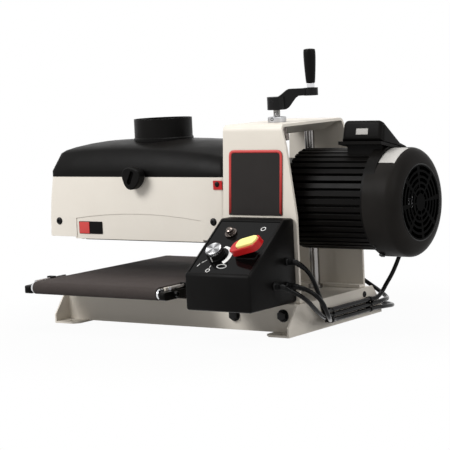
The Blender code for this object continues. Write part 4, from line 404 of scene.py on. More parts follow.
def noise(tree, entry, detail):
    return add(tree, "TexNoise", {"Detail": detail, "Vector": entry["Place"],
                                  "Scale": entry["Scale"]}).outputs["Fac"]


def colour_drift(group, entry):
    """Colour that drifts between two shades."""
    patches = spread(group, noise(group, entry, 5.0), 0.35, 0.65)
    weight = calc(group, "MULTIPLY", patches, entry["Amount"])
    return mix_colours(group, weight, entry["Colour"], entry["Shade"])


def gloss_drift(group, entry):
    """Roughness that drifts, as on a surface that has been handled."""
    return spread(group, noise(group, entry, 4.0), 0.3, 0.7, entry["Low"], entry["High"])


def fine_grain(group, entry):
    """Fine bumps of a given size and depth."""
    return add(group, "Bump", {"Strength": 1.0, "Distance": entry["Depth"],
                               "Height": noise(group, entry, 2.0)}).outputs["Normal"]


def settled_dust(group, entry):
    """A mask of fine dust that lies in patches on faces that look upwards."""
    upward = spread(group, parts_of(group, entry["Facing"])["Z"], 0.6, 1.0)
    patches = spread(group, noise(group, entry, 6.0), 0.25, 0.7)
    return calc(group, "MULTIPLY", calc(group, "MULTIPLY", upward, patches), entry["Amount"])


DRIFT = effect("colour_drift", "Place Colour Shade Scale Amount", "Colour", colour_drift)
GLOSS = effect("gloss_drift", "Place Scale Low High", "Roughness", gloss_drift)
GRAIN = effect("fine_grain", "Place Scale Depth", "Normal", fine_grain)
DUST = effect("settled_dust", "Place Facing Scale Amount", "Mask", settled_dust)
print("groups", DRIFT.name, GLOSS.name, GRAIN.name, DUST.name)

# %% The finishes
DUST_COLOUR = (0.42, 0.38, 0.33, 1.0)
DUST_SCALE = 40.0
GLOSS_SCALE = 25.0


def finish(name, colour, shade, rough, grain=(1200, 3e-5), metal=0.0, drift=(18, 0.5), stretch=(1, 1, 1),
           gleam=0.5, dust=0.0):
    """One finish: two shades, gloss from low to high, the grain's scale and depth, the drift's scale and share."""
    made = bpy.data.materials.new(name)
    made.use_nodes = True
    tree = made.node_tree
    shader = tree.nodes["Principled BSDF"]
    shader.inputs["Metallic"].default_value = metal
    shader.inputs["Specular IOR Level"].default_value = gleam
    place = add(tree, "TexCoord").outputs
    where = add(tree, "Mapping", {"Vector": place["Object"], "Scale": stretch}).outputs["Vector"]
    tone = add(tree, "Group", {"Place": where, "Colour": (*colour, 1.0), "Shade": (*shade, 1.0),
                               "Scale": drift[0], "Amount": drift[1]}, node_tree=DRIFT).outputs["Colour"]
    if dust > 0.0:
        film = add(tree, "Group", {"Place": where, "Facing": place["Normal"], "Scale": DUST_SCALE,
                                   "Amount": dust}, node_tree=DUST).outputs["Mask"]
        tone = mix_colours(tree, film, tone, DUST_COLOUR)
    sheen = add(tree, "Group", {"Place": where, "Scale": GLOSS_SCALE, "Low": rough[0], "High": rough[1]},
                node_tree=GLOSS).outputs["Roughness"]
    bumps = add(tree, "Group", {"Place": where, "Scale": grain[0], "Depth": grain[1]},
                node_tree=GRAIN).outputs["Normal"]
    for label, source in (("Base Color", tone), ("Roughness", sheen), ("Normal", bumps)):
        tree.links.new(source, shader.inputs[label])
    return made


def black(name, colour, shade, rough, grain, gleam, dust=0.0):
    """A black finish, with its shades in thousandths."""
    colour, shade = ([part / 1000 for part in tone] for tone in (colour, shade))
    return finish("black_" + name, colour, shade, rough, grain, gleam=gleam, dust=dust)


CREAM = finish("cream_powder_coat", (0.79, 0.735, 0.65), (0.75, 0.695, 0.61), (0.36, 0.50), (1500, 4e-5),
               dust=0.10)
CREAM_MOULD = finish("cream_moulded_housing", (0.80, 0.75, 0.67), (0.77, 0.715, 0.635), (0.30, 0.42),
                     (700, 4e-5), dust=0.08)
MOULDED = black("moulded_plastic", (4.2, 3.9, 3.7), (6.8, 6.2, 5.9), (0.32, 0.44), (1600, 5e-5), 0.065, 0.012)
GLOSSY = black("gloss_panel", (2.2, 2.1, 2.1), (3.6, 3.4, 3.3), (0.08, 0.15), (300, 1e-5), 0.11)
BOX_BLACK = black("box_texture", (3.6, 3.4, 3.3), (6.0, 5.6, 5.4), (0.36, 0.48), (1100, 9e-5), 0.055, 0.012)
CAST_BLACK = black("painted_casting", (3.6, 3.3, 3.1), (6.2, 5.6, 5.2), (0.32, 0.44), (600, 6e-5), 0.055, 0.012)
SHEET_BLACK = black("sheet_paint", (3.2, 3.0, 2.9), (5.4, 5.0, 4.8), (0.26, 0.36), (900, 3e-5), 0.14, 0.012)
ALLOY_BLACK = black("coated_alloy", (3.4, 3.3, 3.3), (6.0, 5.7, 5.6), (0.24, 0.36), (1300, 3e-5), 0.16)
RUBBER = black("rubber", (3.6, 3.6, 3.7), (6.0, 6.0, 6.1), (0.34, 0.48), (1800, 4e-5), 0.14)
CORD_COVER = black("cord_cover", (1.6, 1.6, 1.7), (3.0, 3.0, 3.1), (0.10, 0.17), (1500, 1e-5), 0.11)
# The cowl shell is the same black sheet paint with a lighter, browner base and almost no gloss: a painted sheen
# for the lamp's highlight on the cowl's side.
COWL_SHEEN_PAINTED_BLACK = black("cowl_paint_painted_sheen", (15.0, 13.8, 12.8), (22.0, 20.0, 18.5), (0.30, 0.40), (900, 3e-5), 0.02, 0.012)
# The grille disc is the same sheet paint made much darker than the shell: painted shade for the end face that
# looks away from the lamps.
GRILLE_SHADE_PAINTED_BLACK = black("grille_sheet_painted_shade", (1.4, 1.3, 1.3), (2.6, 2.4, 2.3), (0.24, 0.34), (900, 3e-5), 0.008)
BELT_CLOTH = finish("abrasive_belt", (0.033, 0.0265, 0.0245), (0.068, 0.056, 0.052), (0.84, 0.96),
                    (1500, 2.5e-4), drift=(1500, 0.9), gleam=0.2)
GRIT = finish("abrasive_grit", (0.16, 0.065, 0.028), (0.30, 0.15, 0.075), (0.80, 0.95), (1700, 3e-4),
              drift=(1700, 0.9))
STEEL = finish("bright_steel", (0.52, 0.52, 0.53), (0.44, 0.44, 0.45), (0.22, 0.36), (500, 2e-5), metal=1.0,
               drift=(12, 0.5), stretch=(0.15, 1, 1))
POST_STEEL = finish("ground_post_steel", (0.30, 0.29, 0.28), (0.22, 0.21, 0.205), (0.16, 0.28), (700, 1e-5),
                    metal=1.0, drift=(10, 0.6), stretch=(1, 1, 0.1))
CHROME = finish("polished_chrome", (0.70, 0.70, 0.71), (0.64, 0.64, 0.66), (0.06, 0.14), (200, 4e-6), metal=1.0)
ALUMINIUM = finish("turned_aluminium", (0.70, 0.70, 0.71), (0.60, 0.60, 0.61), (0.22, 0.34), (900, 2e-5),
                   metal=1.0)
BRONZE = finish("cast_bronze", (0.50, 0.31, 0.12), (0.40, 0.24, 0.09), (0.28, 0.42), metal=1.0)
CHARCOAL = finish("charcoal_plate", (0.0175, 0.0148, 0.0138), (0.0235, 0.0200, 0.0186), (0.42, 0.54),
                  (1400, 2e-5), gleam=0.15)
RED = finish("red_plastic", (0.52, 0.010, 0.012), (0.45, 0.008, 0.009), (0.26, 0.36), (900, 3e-5), gleam=0.3)
DIM_CHROME = finish("dull_chrome", (0.20, 0.17, 0.155), (0.11, 0.095, 0.085), (0.10, 0.22), (400, 2e-5),
                    metal=1.0, drift=(160, 0.9))
RED_INK = finish("red_ink", (0.62, 0.050, 0.045), (0.55, 0.040, 0.036), (0.40, 0.50), (1400, 1e-5))
YELLOW = finish("yellow_plastic", (0.97, 0.90, 0.31), (0.95, 0.86, 0.28), (0.40, 0.50), (1100, 4e-5))
WHITE_INK = finish("white_ink", (0.82, 0.82, 0.80), (0.76, 0.76, 0.74), (0.42, 0.52), (1500, 1e-5))
PLATE_METAL = finish("bare_name_plate", (0.50, 0.485, 0.46), (0.42, 0.405, 0.385), (0.40, 0.52), (1000, 2e-5),
                     gleam=0.25)
print("finishes", len(bpy.data.materials))

# %% [markdown]
# ## Ridged finishes
# A turned cap shows fine rings round its axis and a screw shows its thread. Both are bands that repeat
# at one spacing, so a Wave texture gives them as a bump. A Mapping node puts the pattern's own axis on
# the axis of the piece. Cutting such small ridges into the mesh would take far more faces.

# %% Ridged finishes
WAVE_UNIT = 20.0
PAINTED_REFLECTION_SHADE = (0.10, 0.10, 0.105, 1.0)
PANEL_TILT = math.atan2(0.59373, 0.80466)
PANEL = Matrix.Translation(BASE + Vector((0.1685, -0.2303, 0.1080))) @ Matrix.Rotation(PANEL_TILT, 4, "X")
DIAL = PANEL @ Matrix.Translation((-0.022, 0.043, -0.0009))
DIAL_TURN = (PANEL_TILT, 0.0, 0.0)


def around(tree, at, turn):
    """Places as seen from a piece's own axis."""
    place = add(tree, "TexCoord").outputs["Object"]
    return add(tree, "Mapping", {"Vector": place, "Location": at, "Rotation": turn},
               vector_type="TEXTURE").outputs["Vector"]


def reroute(made, label, make):
    """Put something between an input of a finish's shader and what feeds it."""
    socket = made.node_tree.nodes["Principled BSDF"].inputs[label]
    made.node_tree.links.new(make(socket.links[0].from_socket), socket)


def ridged(name, colour, shade, rough, kind, spacing, depth, at, turn=(0.0, 0.0, 0.0)):
    made = finish(name, colour, shade, rough, metal=1.0)
    tree = made.node_tree
    wave = add(tree, "TexWave", {"Vector": around(tree, at, turn), "Scale": math.tau / (WAVE_UNIT * spacing)},
               wave_type=kind, bands_direction="Z", rings_direction="Z").outputs["Fac"]
    reroute(made, "Normal", lambda normal: add(tree, "Bump", {
        "Distance": depth, "Height": wave, "Normal": normal}).outputs["Normal"])
    return made


def paint_reflection_sectors(made, at, turn, count, low, high):
    """Paint darker sectors round an axis into a finish: painted reflections, as turned metal shows under several
    lamps.
    """
    tree = made.node_tree
    parts = parts_of(tree, around(tree, at, turn))
    angle = calc(tree, "ARCTAN2", parts["Y"], parts["X"])
    swing = calc(tree, "SINE", calc(tree, "MULTIPLY", angle, count))
    share = spread(tree, swing, -1.0, 1.0, low, high)
    reroute(made, "Base Color", lambda colour: mix_colours(tree, share, PAINTED_REFLECTION_SHADE, colour))


SPUN = ridged("spun_aluminium", (0.74, 0.74, 0.75), (0.66, 0.66, 0.67), (0.16, 0.26), "RINGS", spacing=0.0007,
              depth=0.00002, at=DIAL.translation, turn=DIAL_TURN)
# The dial crown's colour gets darker sectors round its axis: painted reflections, not part of the metal's own
# colour.
paint_reflection_sectors(SPUN, DIAL.translation, DIAL_TURN, count=4.0, low=0.15, high=0.95)
THREAD = ridged("screw_thread", (0.62, 0.61, 0.60), (0.50, 0.49, 0.48), (0.18, 0.28), "BANDS",
                spacing=0.0015875, depth=0.0006, at=(0.0, 0.0, 0.0))
print("ridged", SPUN.name, THREAD.name)

# %% [markdown]
# ## Plug finish
# The plug is one moulding with its blades in it. One finish serves both: a step along the plug's length
# turns the rubber into plated metal where the blades begin.

# %% Plug finish
BLADES_END = BASE.x + 0.0127
BLADE_METAL = (0.62, 0.58, 0.50, 1.0)


def two_part_finish(name, limit):
    made = finish(name, (0.0036, 0.0036, 0.0037), (0.0060, 0.0060, 0.0061), (0.34, 0.48), gleam=0.14)
    tree = made.node_tree
    along = parts_of(tree, add(tree, "TexCoord").outputs["Object"])["X"]
    step = calc(tree, "LESS_THAN", along, limit)
    reroute(made, "Base Color", lambda colour: mix_colours(tree, step, colour, BLADE_METAL))
    tree.links.new(step, tree.nodes["Principled BSDF"].inputs["Metallic"])
    return made


PLUG = two_part_finish("plug_rubber_and_blades", BLADES_END)
print("plug finish", PLUG.name)

# %% [markdown]
# ## Cords
# Three rubber-covered leads leave the control box and run along the base's end plate. A cord has a fixed
# length and cannot kink, so its path is drawn first, as a smooth curve through a few chosen points, and
# the round section follows the path. The mains lead's spare length lies coiled behind the base.

# %% Routes
CORD = 0.0072
AIR = 0.0003
END_PLATE = 0.2438
FLOOR_LINE = CORD / 2 + AIR
SPACING = 0.0172
SPAN_STEPS = 24
COIL_STEPS = 24
COIL_LAYER = 0.0081
COIL_CLIMB = 0.5
COIL_CENTRE = (0.095, 0.172)
STUB = Vector((CORD, 0.0, 0.0))
MOTOR_EXIT = Vector((0.2386, -0.126, 0.118))
FEED_EXIT = Vector((0.2386, -0.164, 0.084))
MAINS_EXIT = Vector((0.2386, -0.128, 0.080))


def smooth_route(points):
    """Evenly spaced points on a curve through the given points, with straight ends."""
    knots = [Vector(point) for point in points]
    fine = []
    for index in range(1, len(knots) - 2):
        a, b, c, d = knots[index - 1:index + 3]
        for step in range(SPAN_STEPS):
            t = step / SPAN_STEPS
            fine.append(0.5 * (2 * b + (c - a) * t + (2 * a - 5 * b + 4 * c - d) * t * t
                               + (3 * b - a - 3 * c + d) * t ** 3))
    fine.append(knots[-2])
    lengths = [0.0]
    for here, ahead in zip(fine, fine[1:]):
        lengths.append(lengths[-1] + (ahead - here).length)
    count = max(4, round(lengths[-1] / SPACING))
    route = [knots[0]]
    index = 0
    for k in range(count + 1):
        wanted = lengths[-1] * k / count
        while index < len(fine) - 2 and lengths[index + 1] < wanted:
            index += 1
        share = (wanted - lengths[index]) / max(lengths[index + 1] - lengths[index], 1e-9)
        route.append(fine[index].lerp(fine[index + 1], share))
    return [point + BASE for point in route + [knots[-1]]]


def ease(share):
    return share * share * (3 - 2 * share)


def coil_route(loops, outer, pitch, tail_length, tail_drop):
    """Loops in along the floor, then out again on top of them, then a tail."""
    points = []
    for k in range(loops * COIL_STEPS + 1):
        turns = k / COIL_STEPS
        inward = min(turns, loops / 2)
        outward = max(0.0, turns - loops / 2)
        radius = outer - pitch * (inward - outward)
        rise = ease(min(1.0, max(0.0, (turns - loops / 2) / COIL_CLIMB + 0.5)))
        angle = math.pi / 2 + math.tau * turns
        points.append(Vector((COIL_CENTRE[0] + radius * math.cos(angle),
                              COIL_CENTRE[1] + radius * math.sin(angle), FLOOR_LINE + COIL_LAYER * rise)))
    last = points[-1]
    for share in (0.25, 0.5, 0.75, 1.0):
        points.append(last + Vector((-tail_length * share, 0.0, -(last.z - tail_drop) * ease(share))))
    return [points[0] + 2 * STUB, points[0] + STUB] + points


coil = coil_route(loops=4, outer=0.048, pitch=0.0082, tail_length=0.046, tail_drop=0.0103)
print("coil points", len(coil))

# %% Cord tubes


def path_length(points):
    return sum((ahead - here).length for here, ahead in zip(points, points[1:]))


def new_curve(name, radius):
    """An empty curve with a round section."""
    curve = bpy.data.curves.new(name, "CURVE")
    curve.dimensions = "3D"
    curve.bevel_depth = radius
    curve.bevel_resolution = 4
    curve.use_fill_caps = True
    return curve


def cord_curve(name, points):
    """A round cord along the points, as one open spline."""
    curve = new_curve(name, CORD / 2)
    curve.resolution_u = 6
    spline = curve.splines.new("BEZIER")
    spline.bezier_points.add(len(points) - 1)
    for knot, place in zip(spline.bezier_points, points):
        knot.co = place
        knot.handle_left_type = "AUTO"
        knot.handle_right_type = "AUTO"
    curve.materials.append(CORD_COVER)
    return new_object(name, curve)


mains_points = smooth_route([
    MAINS_EXIT, MAINS_EXIT + STUB, (0.2655, -0.120, 0.0722), (0.2765, -0.1044, 0.0551),
    (0.2737, -0.0807, 0.0287), (0.2570, -0.0496, 0.0160), (0.2446, -0.019, 0.0115), (END_PLATE, 0.040, 0.011),
    (END_PLATE, 0.110, 0.011), (END_PLATE + 0.001, 0.150, 0.009), (0.236, 0.185, 0.0055),
    (0.212, 0.207, FLOOR_LINE), (0.180, 0.218, FLOOR_LINE), coil[1], coil[1]])[:-2]
mains_points += [point + BASE for point in coil[1:]]
mains = cord_curve("mains_lead", mains_points)
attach(mains, "base")
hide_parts("mains_cord", "mains_coil")

feed_end = Vector((0.1486, 0.158, 0.0699))
feed_points = smooth_route([
    FEED_EXIT, FEED_EXIT + STUB, (0.268, -0.140, 0.064), (0.2650, -0.100, 0.038), (0.2535, -0.062, 0.022),
    (END_PLATE, -0.033, 0.0195), (END_PLATE, 0.040, 0.0195), (END_PLATE, 0.110, 0.0195),
    (END_PLATE, 0.144, 0.0208), (0.2308, 0.1763, 0.0194), (0.2039, 0.1933, 0.0288), (0.1773, 0.1881, 0.0472),
    (0.1631, 0.1708, 0.0638), feed_end + STUB, feed_end])
feed = cord_curve("feed_motor_lead", feed_points)
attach(feed, "base")
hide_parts("feed_lead")

split = Vector((END_PLATE + 0.004, 0.128, 0.034))
climb = Vector((0.0, 0.8, 0.6))
junction = Vector((0.3158, 0.0283, 0.2810))
motor_points = smooth_route([
    MOTOR_EXIT, MOTOR_EXIT + STUB, (0.259, -0.108, 0.098), (0.262, -0.085, 0.058), (0.2525, -0.060, 0.031),
    (END_PLATE, -0.035, 0.028), (END_PLATE, 0.030, 0.028), (END_PLATE, 0.100, 0.028), split - CORD * climb,
    split + CORD * climb, (0.262, 0.150, 0.072), (0.285, 0.150, 0.125), (0.312, 0.140, 0.195),
    (0.326, 0.110, 0.251), (0.3158, 0.070, 0.276), junction + Vector((0.0, CORD, 0.0)), junction])
lead = as_mesh(cord_curve("motor_supply_lead", motor_points))
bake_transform(lead)
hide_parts("motor_lead", "motor_lead_riser")
print("lengths", [round(path_length(points), 3) for points in (mains_points, feed_points, motor_points)])

# %% [markdown]
# ## Strain reliefs
# A rubber sleeve keeps a cord from bending sharply where it leaves the box. It tapers and is cut by
# grooves so that it bends with the cord. A short curve along the cord's own path, thick at the box and
# thinner outwards with a groove at every third point, gives that shape and then becomes a mesh.

# %% Strain reliefs
COLLAR = [(0.0083, 0.0066), (0.0060, 0.0066), (0.0052, 0.0054), (0.0035, 0.0052), (0.0, 0.0051)]
SLEEVE, SLEEVE_TAPER, GROOVE = 0.0050, 0.0010, 0.0006
SLEEVE_STEP = 0.0018
SLEEVE_REACH = 0.024
PLAIN_END = 0.85


def relief(name, points, stands_for):
    walked = [points[0]]
    for here, ahead in zip(points, points[1:]):
        steps = max(1, round((ahead - here).length / SLEEVE_STEP))
        walked += [here.lerp(ahead, k / steps) for k in range(1, steps + 1)]
    kept = [(walked[0] - Vector((inside, 0.0, 0.0)), radius) for inside, radius in COLLAR]
    total = 0.0
    for here, ahead in zip(walked, walked[1:]):
        total += (ahead - here).length
        share = total / SLEEVE_REACH
        if share > 1.0:
            break
        grooved = len(kept) % 3 == 2 and share < PLAIN_END
        kept.append((ahead, SLEEVE - SLEEVE_TAPER * share - (GROOVE if grooved else 0.0)))
    curve = new_curve(name, 1.0)
    spline = curve.splines.new("POLY")
    spline.points.add(len(kept) - 1)
    for knot, (place, radius) in zip(spline.points, kept):
        knot.co = (*place, 1.0)
        knot.radius = radius
    made = as_mesh(new_object(name, curve))
    smooth(made, 50)
    return seat(made, name, "base", RUBBER, stands_for)


sleeve = relief("mains_strain_relief", mains_points, ["gland_mains"])
relief("feed_strain_relief", feed_points, ["gland_feed"])
relief("motor_strain_relief", motor_points, ["gland_motor"])
print("strain relief faces", len(sleeve.data.polygons))

# %% [markdown]
# ## Rounded copies of the solids
# Folded sheet, castings and mouldings have small round edges that catch the light, and curved walls that
# look smooth. A solid comes in as loose triangles with sharp edges, so a copy is merged, its flat faces
# are joined up, and its edges are rounded by a Bevel modifier. Where a curved wall would show its flats
# against the background, a Subdivision Surface comes first, with the sharp edges creased to hold them.

# %% Rounded copies
FLAT = math.radians(0.4)
CREASED = math.radians(32)


def rounded_copy(node, finish_used, width, refine=0, reshape=None):
    source = frame["nodes"][node]
    made = new_object(node + "_skin", source.data.copy())
    edit(made, "verts")
    weld()
    bpy.ops.mesh.dissolve_limited(angle_limit=FLAT)
    bpy.ops.mesh.normals_make_consistent(inside=False)
    leave()
    forget_shading(made)
    if reshape:
        reshape(made)
    if refine:
        edit(made, "edges")
        bpy.ops.mesh.edges_select_sharp(sharpness=CREASED)
        bpy.ops.transform.edge_crease(value=1.0)
        leave()
        apply_modifier(made, "SUBSURF", levels=refine, render_levels=refine)
    round_edges(made, width)
    return seat(made, node + "_skin", source["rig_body"], finish_used, [node])


ROUNDED = [  # finish, slot, width of the rounding, nodes
    (CREAM, "cream_paint", 0.0008, "base_frame"),
    (CREAM, "cream_paint", 0.0006, "conveyor_bed"),
    (CREAM_MOULD, "cream_paint", 0.0008, "drum_housing"),
    (CAST_BLACK, "black_casting", 0.0010, "head_carriage feed_gearmotor"),
    (MOULDED, "black_plastic", 0.0005, "dust_cover"),
    (MOULDED, "black_plastic", 0.0010, "latch_knob"),
    (MOULDED, "black_plastic", 0.0, "cooling_fan"),
    (ALLOY_BLACK, "black_alloy", 0.0012, "crank_arm"),
    (BOX_BLACK, "black_sheet", 0.0014, "control_box"),
    (GLOSSY, "black_plastic", 0.0005, "control_panel"),
    (CHARCOAL, "charcoal", 0.0003, "column_panel"),
    (RED, "red", 0.0, "switch_paddle"),
    (RED, "red", 0.0003, "height_pointer"),
    (YELLOW, "yellow", 0.0, "safety_key"),
    (DIM_CHROME, "chrome", 0.0003, "reset_collar reset_button"),
    (STEEL, "steel", 0.0003, "screw_bearing drive_roller pressure_hanger_infeed pressure_hanger_outfeed"),
    (STEEL, "steel", 0.0003, "shaft_coupling motor_shaft drum_arbor"),
    (STEEL, "steel", 0.0005, "bearing_inboard bearing_outboard"),
    (STEEL, "steel", 0.0, "takeup_screw_left takeup_screw_right"),
    (CHROME, "chrome", 0.0004, "grip_pin"),
    (CHROME, "steel", 0.0003, "idler_roller"),
    (POST_STEEL, "chrome", 0.0003, "guide_post_front guide_post_rear"),
    (RUBBER, "rubber", 0.0004, "pressure_roller_infeed pressure_roller_outfeed"),
    (ALUMINIUM, "aluminium", 0.0003, "sanding_drum"),
    (GRIT, "grit", 0.0, "abrasive_wrap"),
    (BRONZE, "bronze", 0.0003, "lift_nut"),
    (BELT_CLOTH, "belt", 0.0, "conveyor_belt"),
    (PLUG, "rubber", 0.0008, "mains_plug"),
    (THREAD, "steel", 0.0, "lead_screw"),
]
copies = [rounded_copy(node, finish_used, width)
          for finish_used, slot, width, nodes in ROUNDED for node in nodes.split()]
copies.append(rounded_copy("crank_grip", MOULDED, 0.0, refine=1))
print("rounded copies", len(copies))

# %% [markdown]
# ## Copies that are also reshaped
# Three copies need more than round edges. The stiffening edge under the column's top leans inwards, so it
# stays in the shade of the top; the neck under the motor's terminal box stands back from the fins; and the
# motor's upper fins stand a little taller. All are moves of corners, selected by their place.

# %% Reshaped copies
COWL_AXIS = Vector((0.0, 0.0, 0.201))
EDGE_LOW, EDGE_HIGH, EDGE_INNER, EDGE_HALF = 0.3120, 0.3140, 0.195, 0.094
LEAN = 0.025
NECK_FRONT = -0.0330
NECK_TOP = 0.2940
FIN_RISE = 1.12


def lean_edge(item):
    shape(item, "verts", lambda vert: EDGE_LOW < vert.co.z < EDGE_HIGH and vert.co.x - BASE.x > EDGE_INNER
          and abs(vert.co.y - BASE.y) < EDGE_HALF, bpy.ops.transform.translate, value=(-LEAN, 0.0, 0.0))


def set_back_neck(item):
    pick(item, "verts", lambda vert: vert.co.y - BASE.y < NECK_FRONT and vert.co.z < NECK_TOP)
    bpy.ops.transform.resize(value=(1.0, 0.0, 1.0), center_override=(0.0, BASE.y + NECK_FRONT, 0.0))
    weld()
    bpy.ops.mesh.dissolve_degenerate()
    leave()


def raise_fins(item):
    shape(item, "verts", lambda vert: vert.co.z > COWL_AXIS.z, bpy.ops.transform.resize,
          value=(1.0, 1.0, FIN_RISE), center_override=(0.0, 0.0, COWL_AXIS.z))


rounded_copy("column_frame", CREAM, 0.0008, reshape=lean_edge)
rounded_copy("junction_base", CAST_BLACK, 0.0006, reshape=set_back_neck)
rounded_copy("motor_body", CAST_BLACK, 0.0006, reshape=raise_fins)
print("reshaped copies 3")

# %% [markdown]
# ## Fan cowl
# The cowl is drawn from sheet: a tube whose end turns inwards in a wide round to the grille. Spinning half
# of that outline round the motor's axis gives a smooth wall with any number of steps. Only the slotted
# disc in its end is kept from the solid's copy, because its curved slots are already right.

# %% Fan cowl
COWL_RADIUS = 0.0860
DISC_RADIUS = 0.0605
TUBE_PLACES = (0.3450, 0.3550, 0.3700)
ROUND_START, ROUND_INNER = 0.3835, 0.0590
COWL_END = 0.4010
COWL_STEPS = 12
COWL_SIDES = 128
WALL = 0.0012


def only_disc(item):
    shape(item, "faces", lambda face: max((vert.co - BASE - COWL_AXIS).yz.length
                                          for vert in face.verts) > DISC_RADIUS, drop_faces)


outline = [(along, COWL_RADIUS) for along in TUBE_PLACES]
for k in range(COWL_STEPS + 1):
    turn = math.pi / 2 * k / COWL_STEPS
    outline.append((ROUND_START + (COWL_END - ROUND_START) * math.sin(turn),
                    ROUND_INNER + (COWL_RADIUS - ROUND_INNER) * math.cos(turn)))
cowl = start(bpy.ops.mesh.primitive_plane_add, size=0.01)
edit(cowl, "verts")
everything()
bpy.ops.mesh.merge(type="CENTER")
move(outline[0][0], 0.0, outline[0][1])
for here, ahead in zip(outline, outline[1:]):
    way = (ahead[0] - here[0], 0.0, ahead[1] - here[1])
    bpy.ops.mesh.extrude_vertices_move(TRANSFORM_OT_translate={"value": way})
everything()
bpy.ops.mesh.spin(steps=COWL_SIDES, angle=math.tau, center=(0.0, 0.0, 0.0), axis=(1.0, 0.0, 0.0))
weld()
bpy.ops.mesh.normals_make_consistent(inside=False)
leave()
turn_outwards(cowl, "yz")
thicken(cowl, WALL, -1.0)
smooth(cowl, 30)
cowl.location = BASE + COWL_AXIS
freeze(cowl)
# The shell takes the sheet paint with the painted sheen.
seat(cowl, "cowl_shell", "head", COWL_SHEEN_PAINTED_BLACK, ["motor_cowl"])
# The slotted disc takes the darker copy of the sheet paint, which is painted shade.
rounded_copy("motor_cowl", GRILLE_SHADE_PAINTED_BLACK, 0.0, reshape=only_disc)
print("cowl faces", len(cowl.data.polygons))

# %% [markdown]
# ## Small pieces: how they are placed
# Bolts, plates and marks are modelled once, standing on the floor at the origin with their outer side
# up, because that is the easiest place to shape them. A matrix then carries each to its place: its own
# up direction becomes the direction that the surface of the machine faces.

# %% Placing helpers
FRONT, REAR, LEFT, RIGHT, DOWN = (0, -1, 0), (0, 1, 0), (-1, 0, 0), (1, 0, 0), (0, 0, -1)
CLOSE = 0.0001
SUNK = 0.0002


def facing(point, out, up=(0.0, 0.0, 1.0)):
    """A place on the machine, as a matrix whose Z axis points out of the surface."""
    axis = Vector(out).normalized()
    side = Vector((1.0, 0.0, 0.0)) if abs(axis.z) > 0.99 else Vector(up).cross(axis).normalized()
    turn = Matrix((side, axis.cross(side), axis)).transposed().to_4x4()
    return Matrix.Translation(BASE + Vector(point)) @ turn


def start_rod(sides, radius, depth, low=0.0):
    """A prism standing at the given height."""
    return start(bpy.ops.mesh.primitive_cylinder_add, vertices=sides, radius=radius, depth=depth,
                 location=(0, 0, low + depth / 2))


def start_block(length, width, height, low=0.0):
    """A block standing at the given height."""
    return start(bpy.ops.mesh.primitive_cube_add, (length, width, height), size=1.0,
                 location=(0, 0, low + height / 2))


def step_faces(steps):
    """In edit mode, inset the selected face and lift it, once for each step."""
    for inset, lift in steps:
        bpy.ops.mesh.inset(thickness=inset)
        move(0.0, 0.0, lift)


def turned(sides, radius, depth, steps, low=0.0):
    """A prism whose top is stepped, as on a lathe."""
    made = start_rod(sides, radius, depth, low)
    shape(made, "faces", lambda face: face.normal.z > 0.9, step_faces, steps=steps)
    return made


def upright(edge):
    return abs((edge.verts[0].co - edge.verts[1].co).normalized().z) > 0.9


def cut_away(item, cutter):
    apply_modifier(item, "BOOLEAN", operation="DIFFERENCE", solver="EXACT", object=cutter)
    bpy.data.objects.remove(cutter)


def join(items):
    bpy.ops.object.select_all(action="DESELECT")
    for item in items:
        item.select_set(True)
    bpy.context.view_layer.objects.active = items[0]
    bpy.ops.object.join()
    return items[0]


def put(item, name, matrix, body, finish_used, stands_for=()):
    """Carry a shaped piece to its place, with the place kept in its mesh."""
    item.matrix_world = matrix
    freeze(item)
    return seat(item, name, body, finish_used, stands_for)


print("placing helpers ready")

# %% [markdown]
# ## Fasteners
# Four kinds of screw hold the machine together. Each head is turned or forged from bar, so it begins as
# a prism whose top face is inset and lifted to a chamfer or a dome, and then its drive is cut out of it.
# One master of each kind is shaped, and every screw is a copy with its own mesh.

# %% Screw masters
hex_head = join([turned(6, 0.0086, 0.0062, [(0.0011, 0.0007), (0.0004, 0.0001)]),
                 turned(40, 0.0103, 0.0012, [(0.0006, 0.0003)])])
smooth(hex_head, 25)

socket_head = turned(40, 0.0050, 0.0055, [(0.0005, 0.0005)])
cut_away(socket_head, start_rod(6, 0.0027, 0.0050, 0.0030))
round_edges(socket_head, 0.0002, 30.0)

button_head = turned(40, 0.0060, 0.0008, [(0.0007, 0.0010), (0.0011, 0.0008), (0.0014, 0.0004)])
cut_away(button_head, start_rod(6, 0.0022, 0.0050, 0.0014))
smooth(button_head, 40)

cross_head = turned(40, 0.0038, 0.0006, [(0.0004, 0.0007), (0.0007, 0.0006), (0.0009, 0.0003)])
for length, width in ((0.0044, 0.0009), (0.0009, 0.0044)):
    cut_away(cross_head, start_block(length, width, 0.0050, 0.0010))
smooth(cross_head, 40)
masters = (hex_head, socket_head, button_head, cross_head)
print("masters", [len(item.data.polygons) for item in masters])

# %% Screws in place
COWL_SCREWS = 0.3478


def on_cowl(along, angle, radius=COWL_RADIUS):
    """A place on the round of the motor's fan cowl."""
    out = Vector((0.0, math.cos(math.radians(angle)), math.sin(math.radians(angle))))
    return facing(COWL_AXIS + Vector((along, 0.0, 0.0)) + out * radius, out, (1.0, 0.0, 0.0))


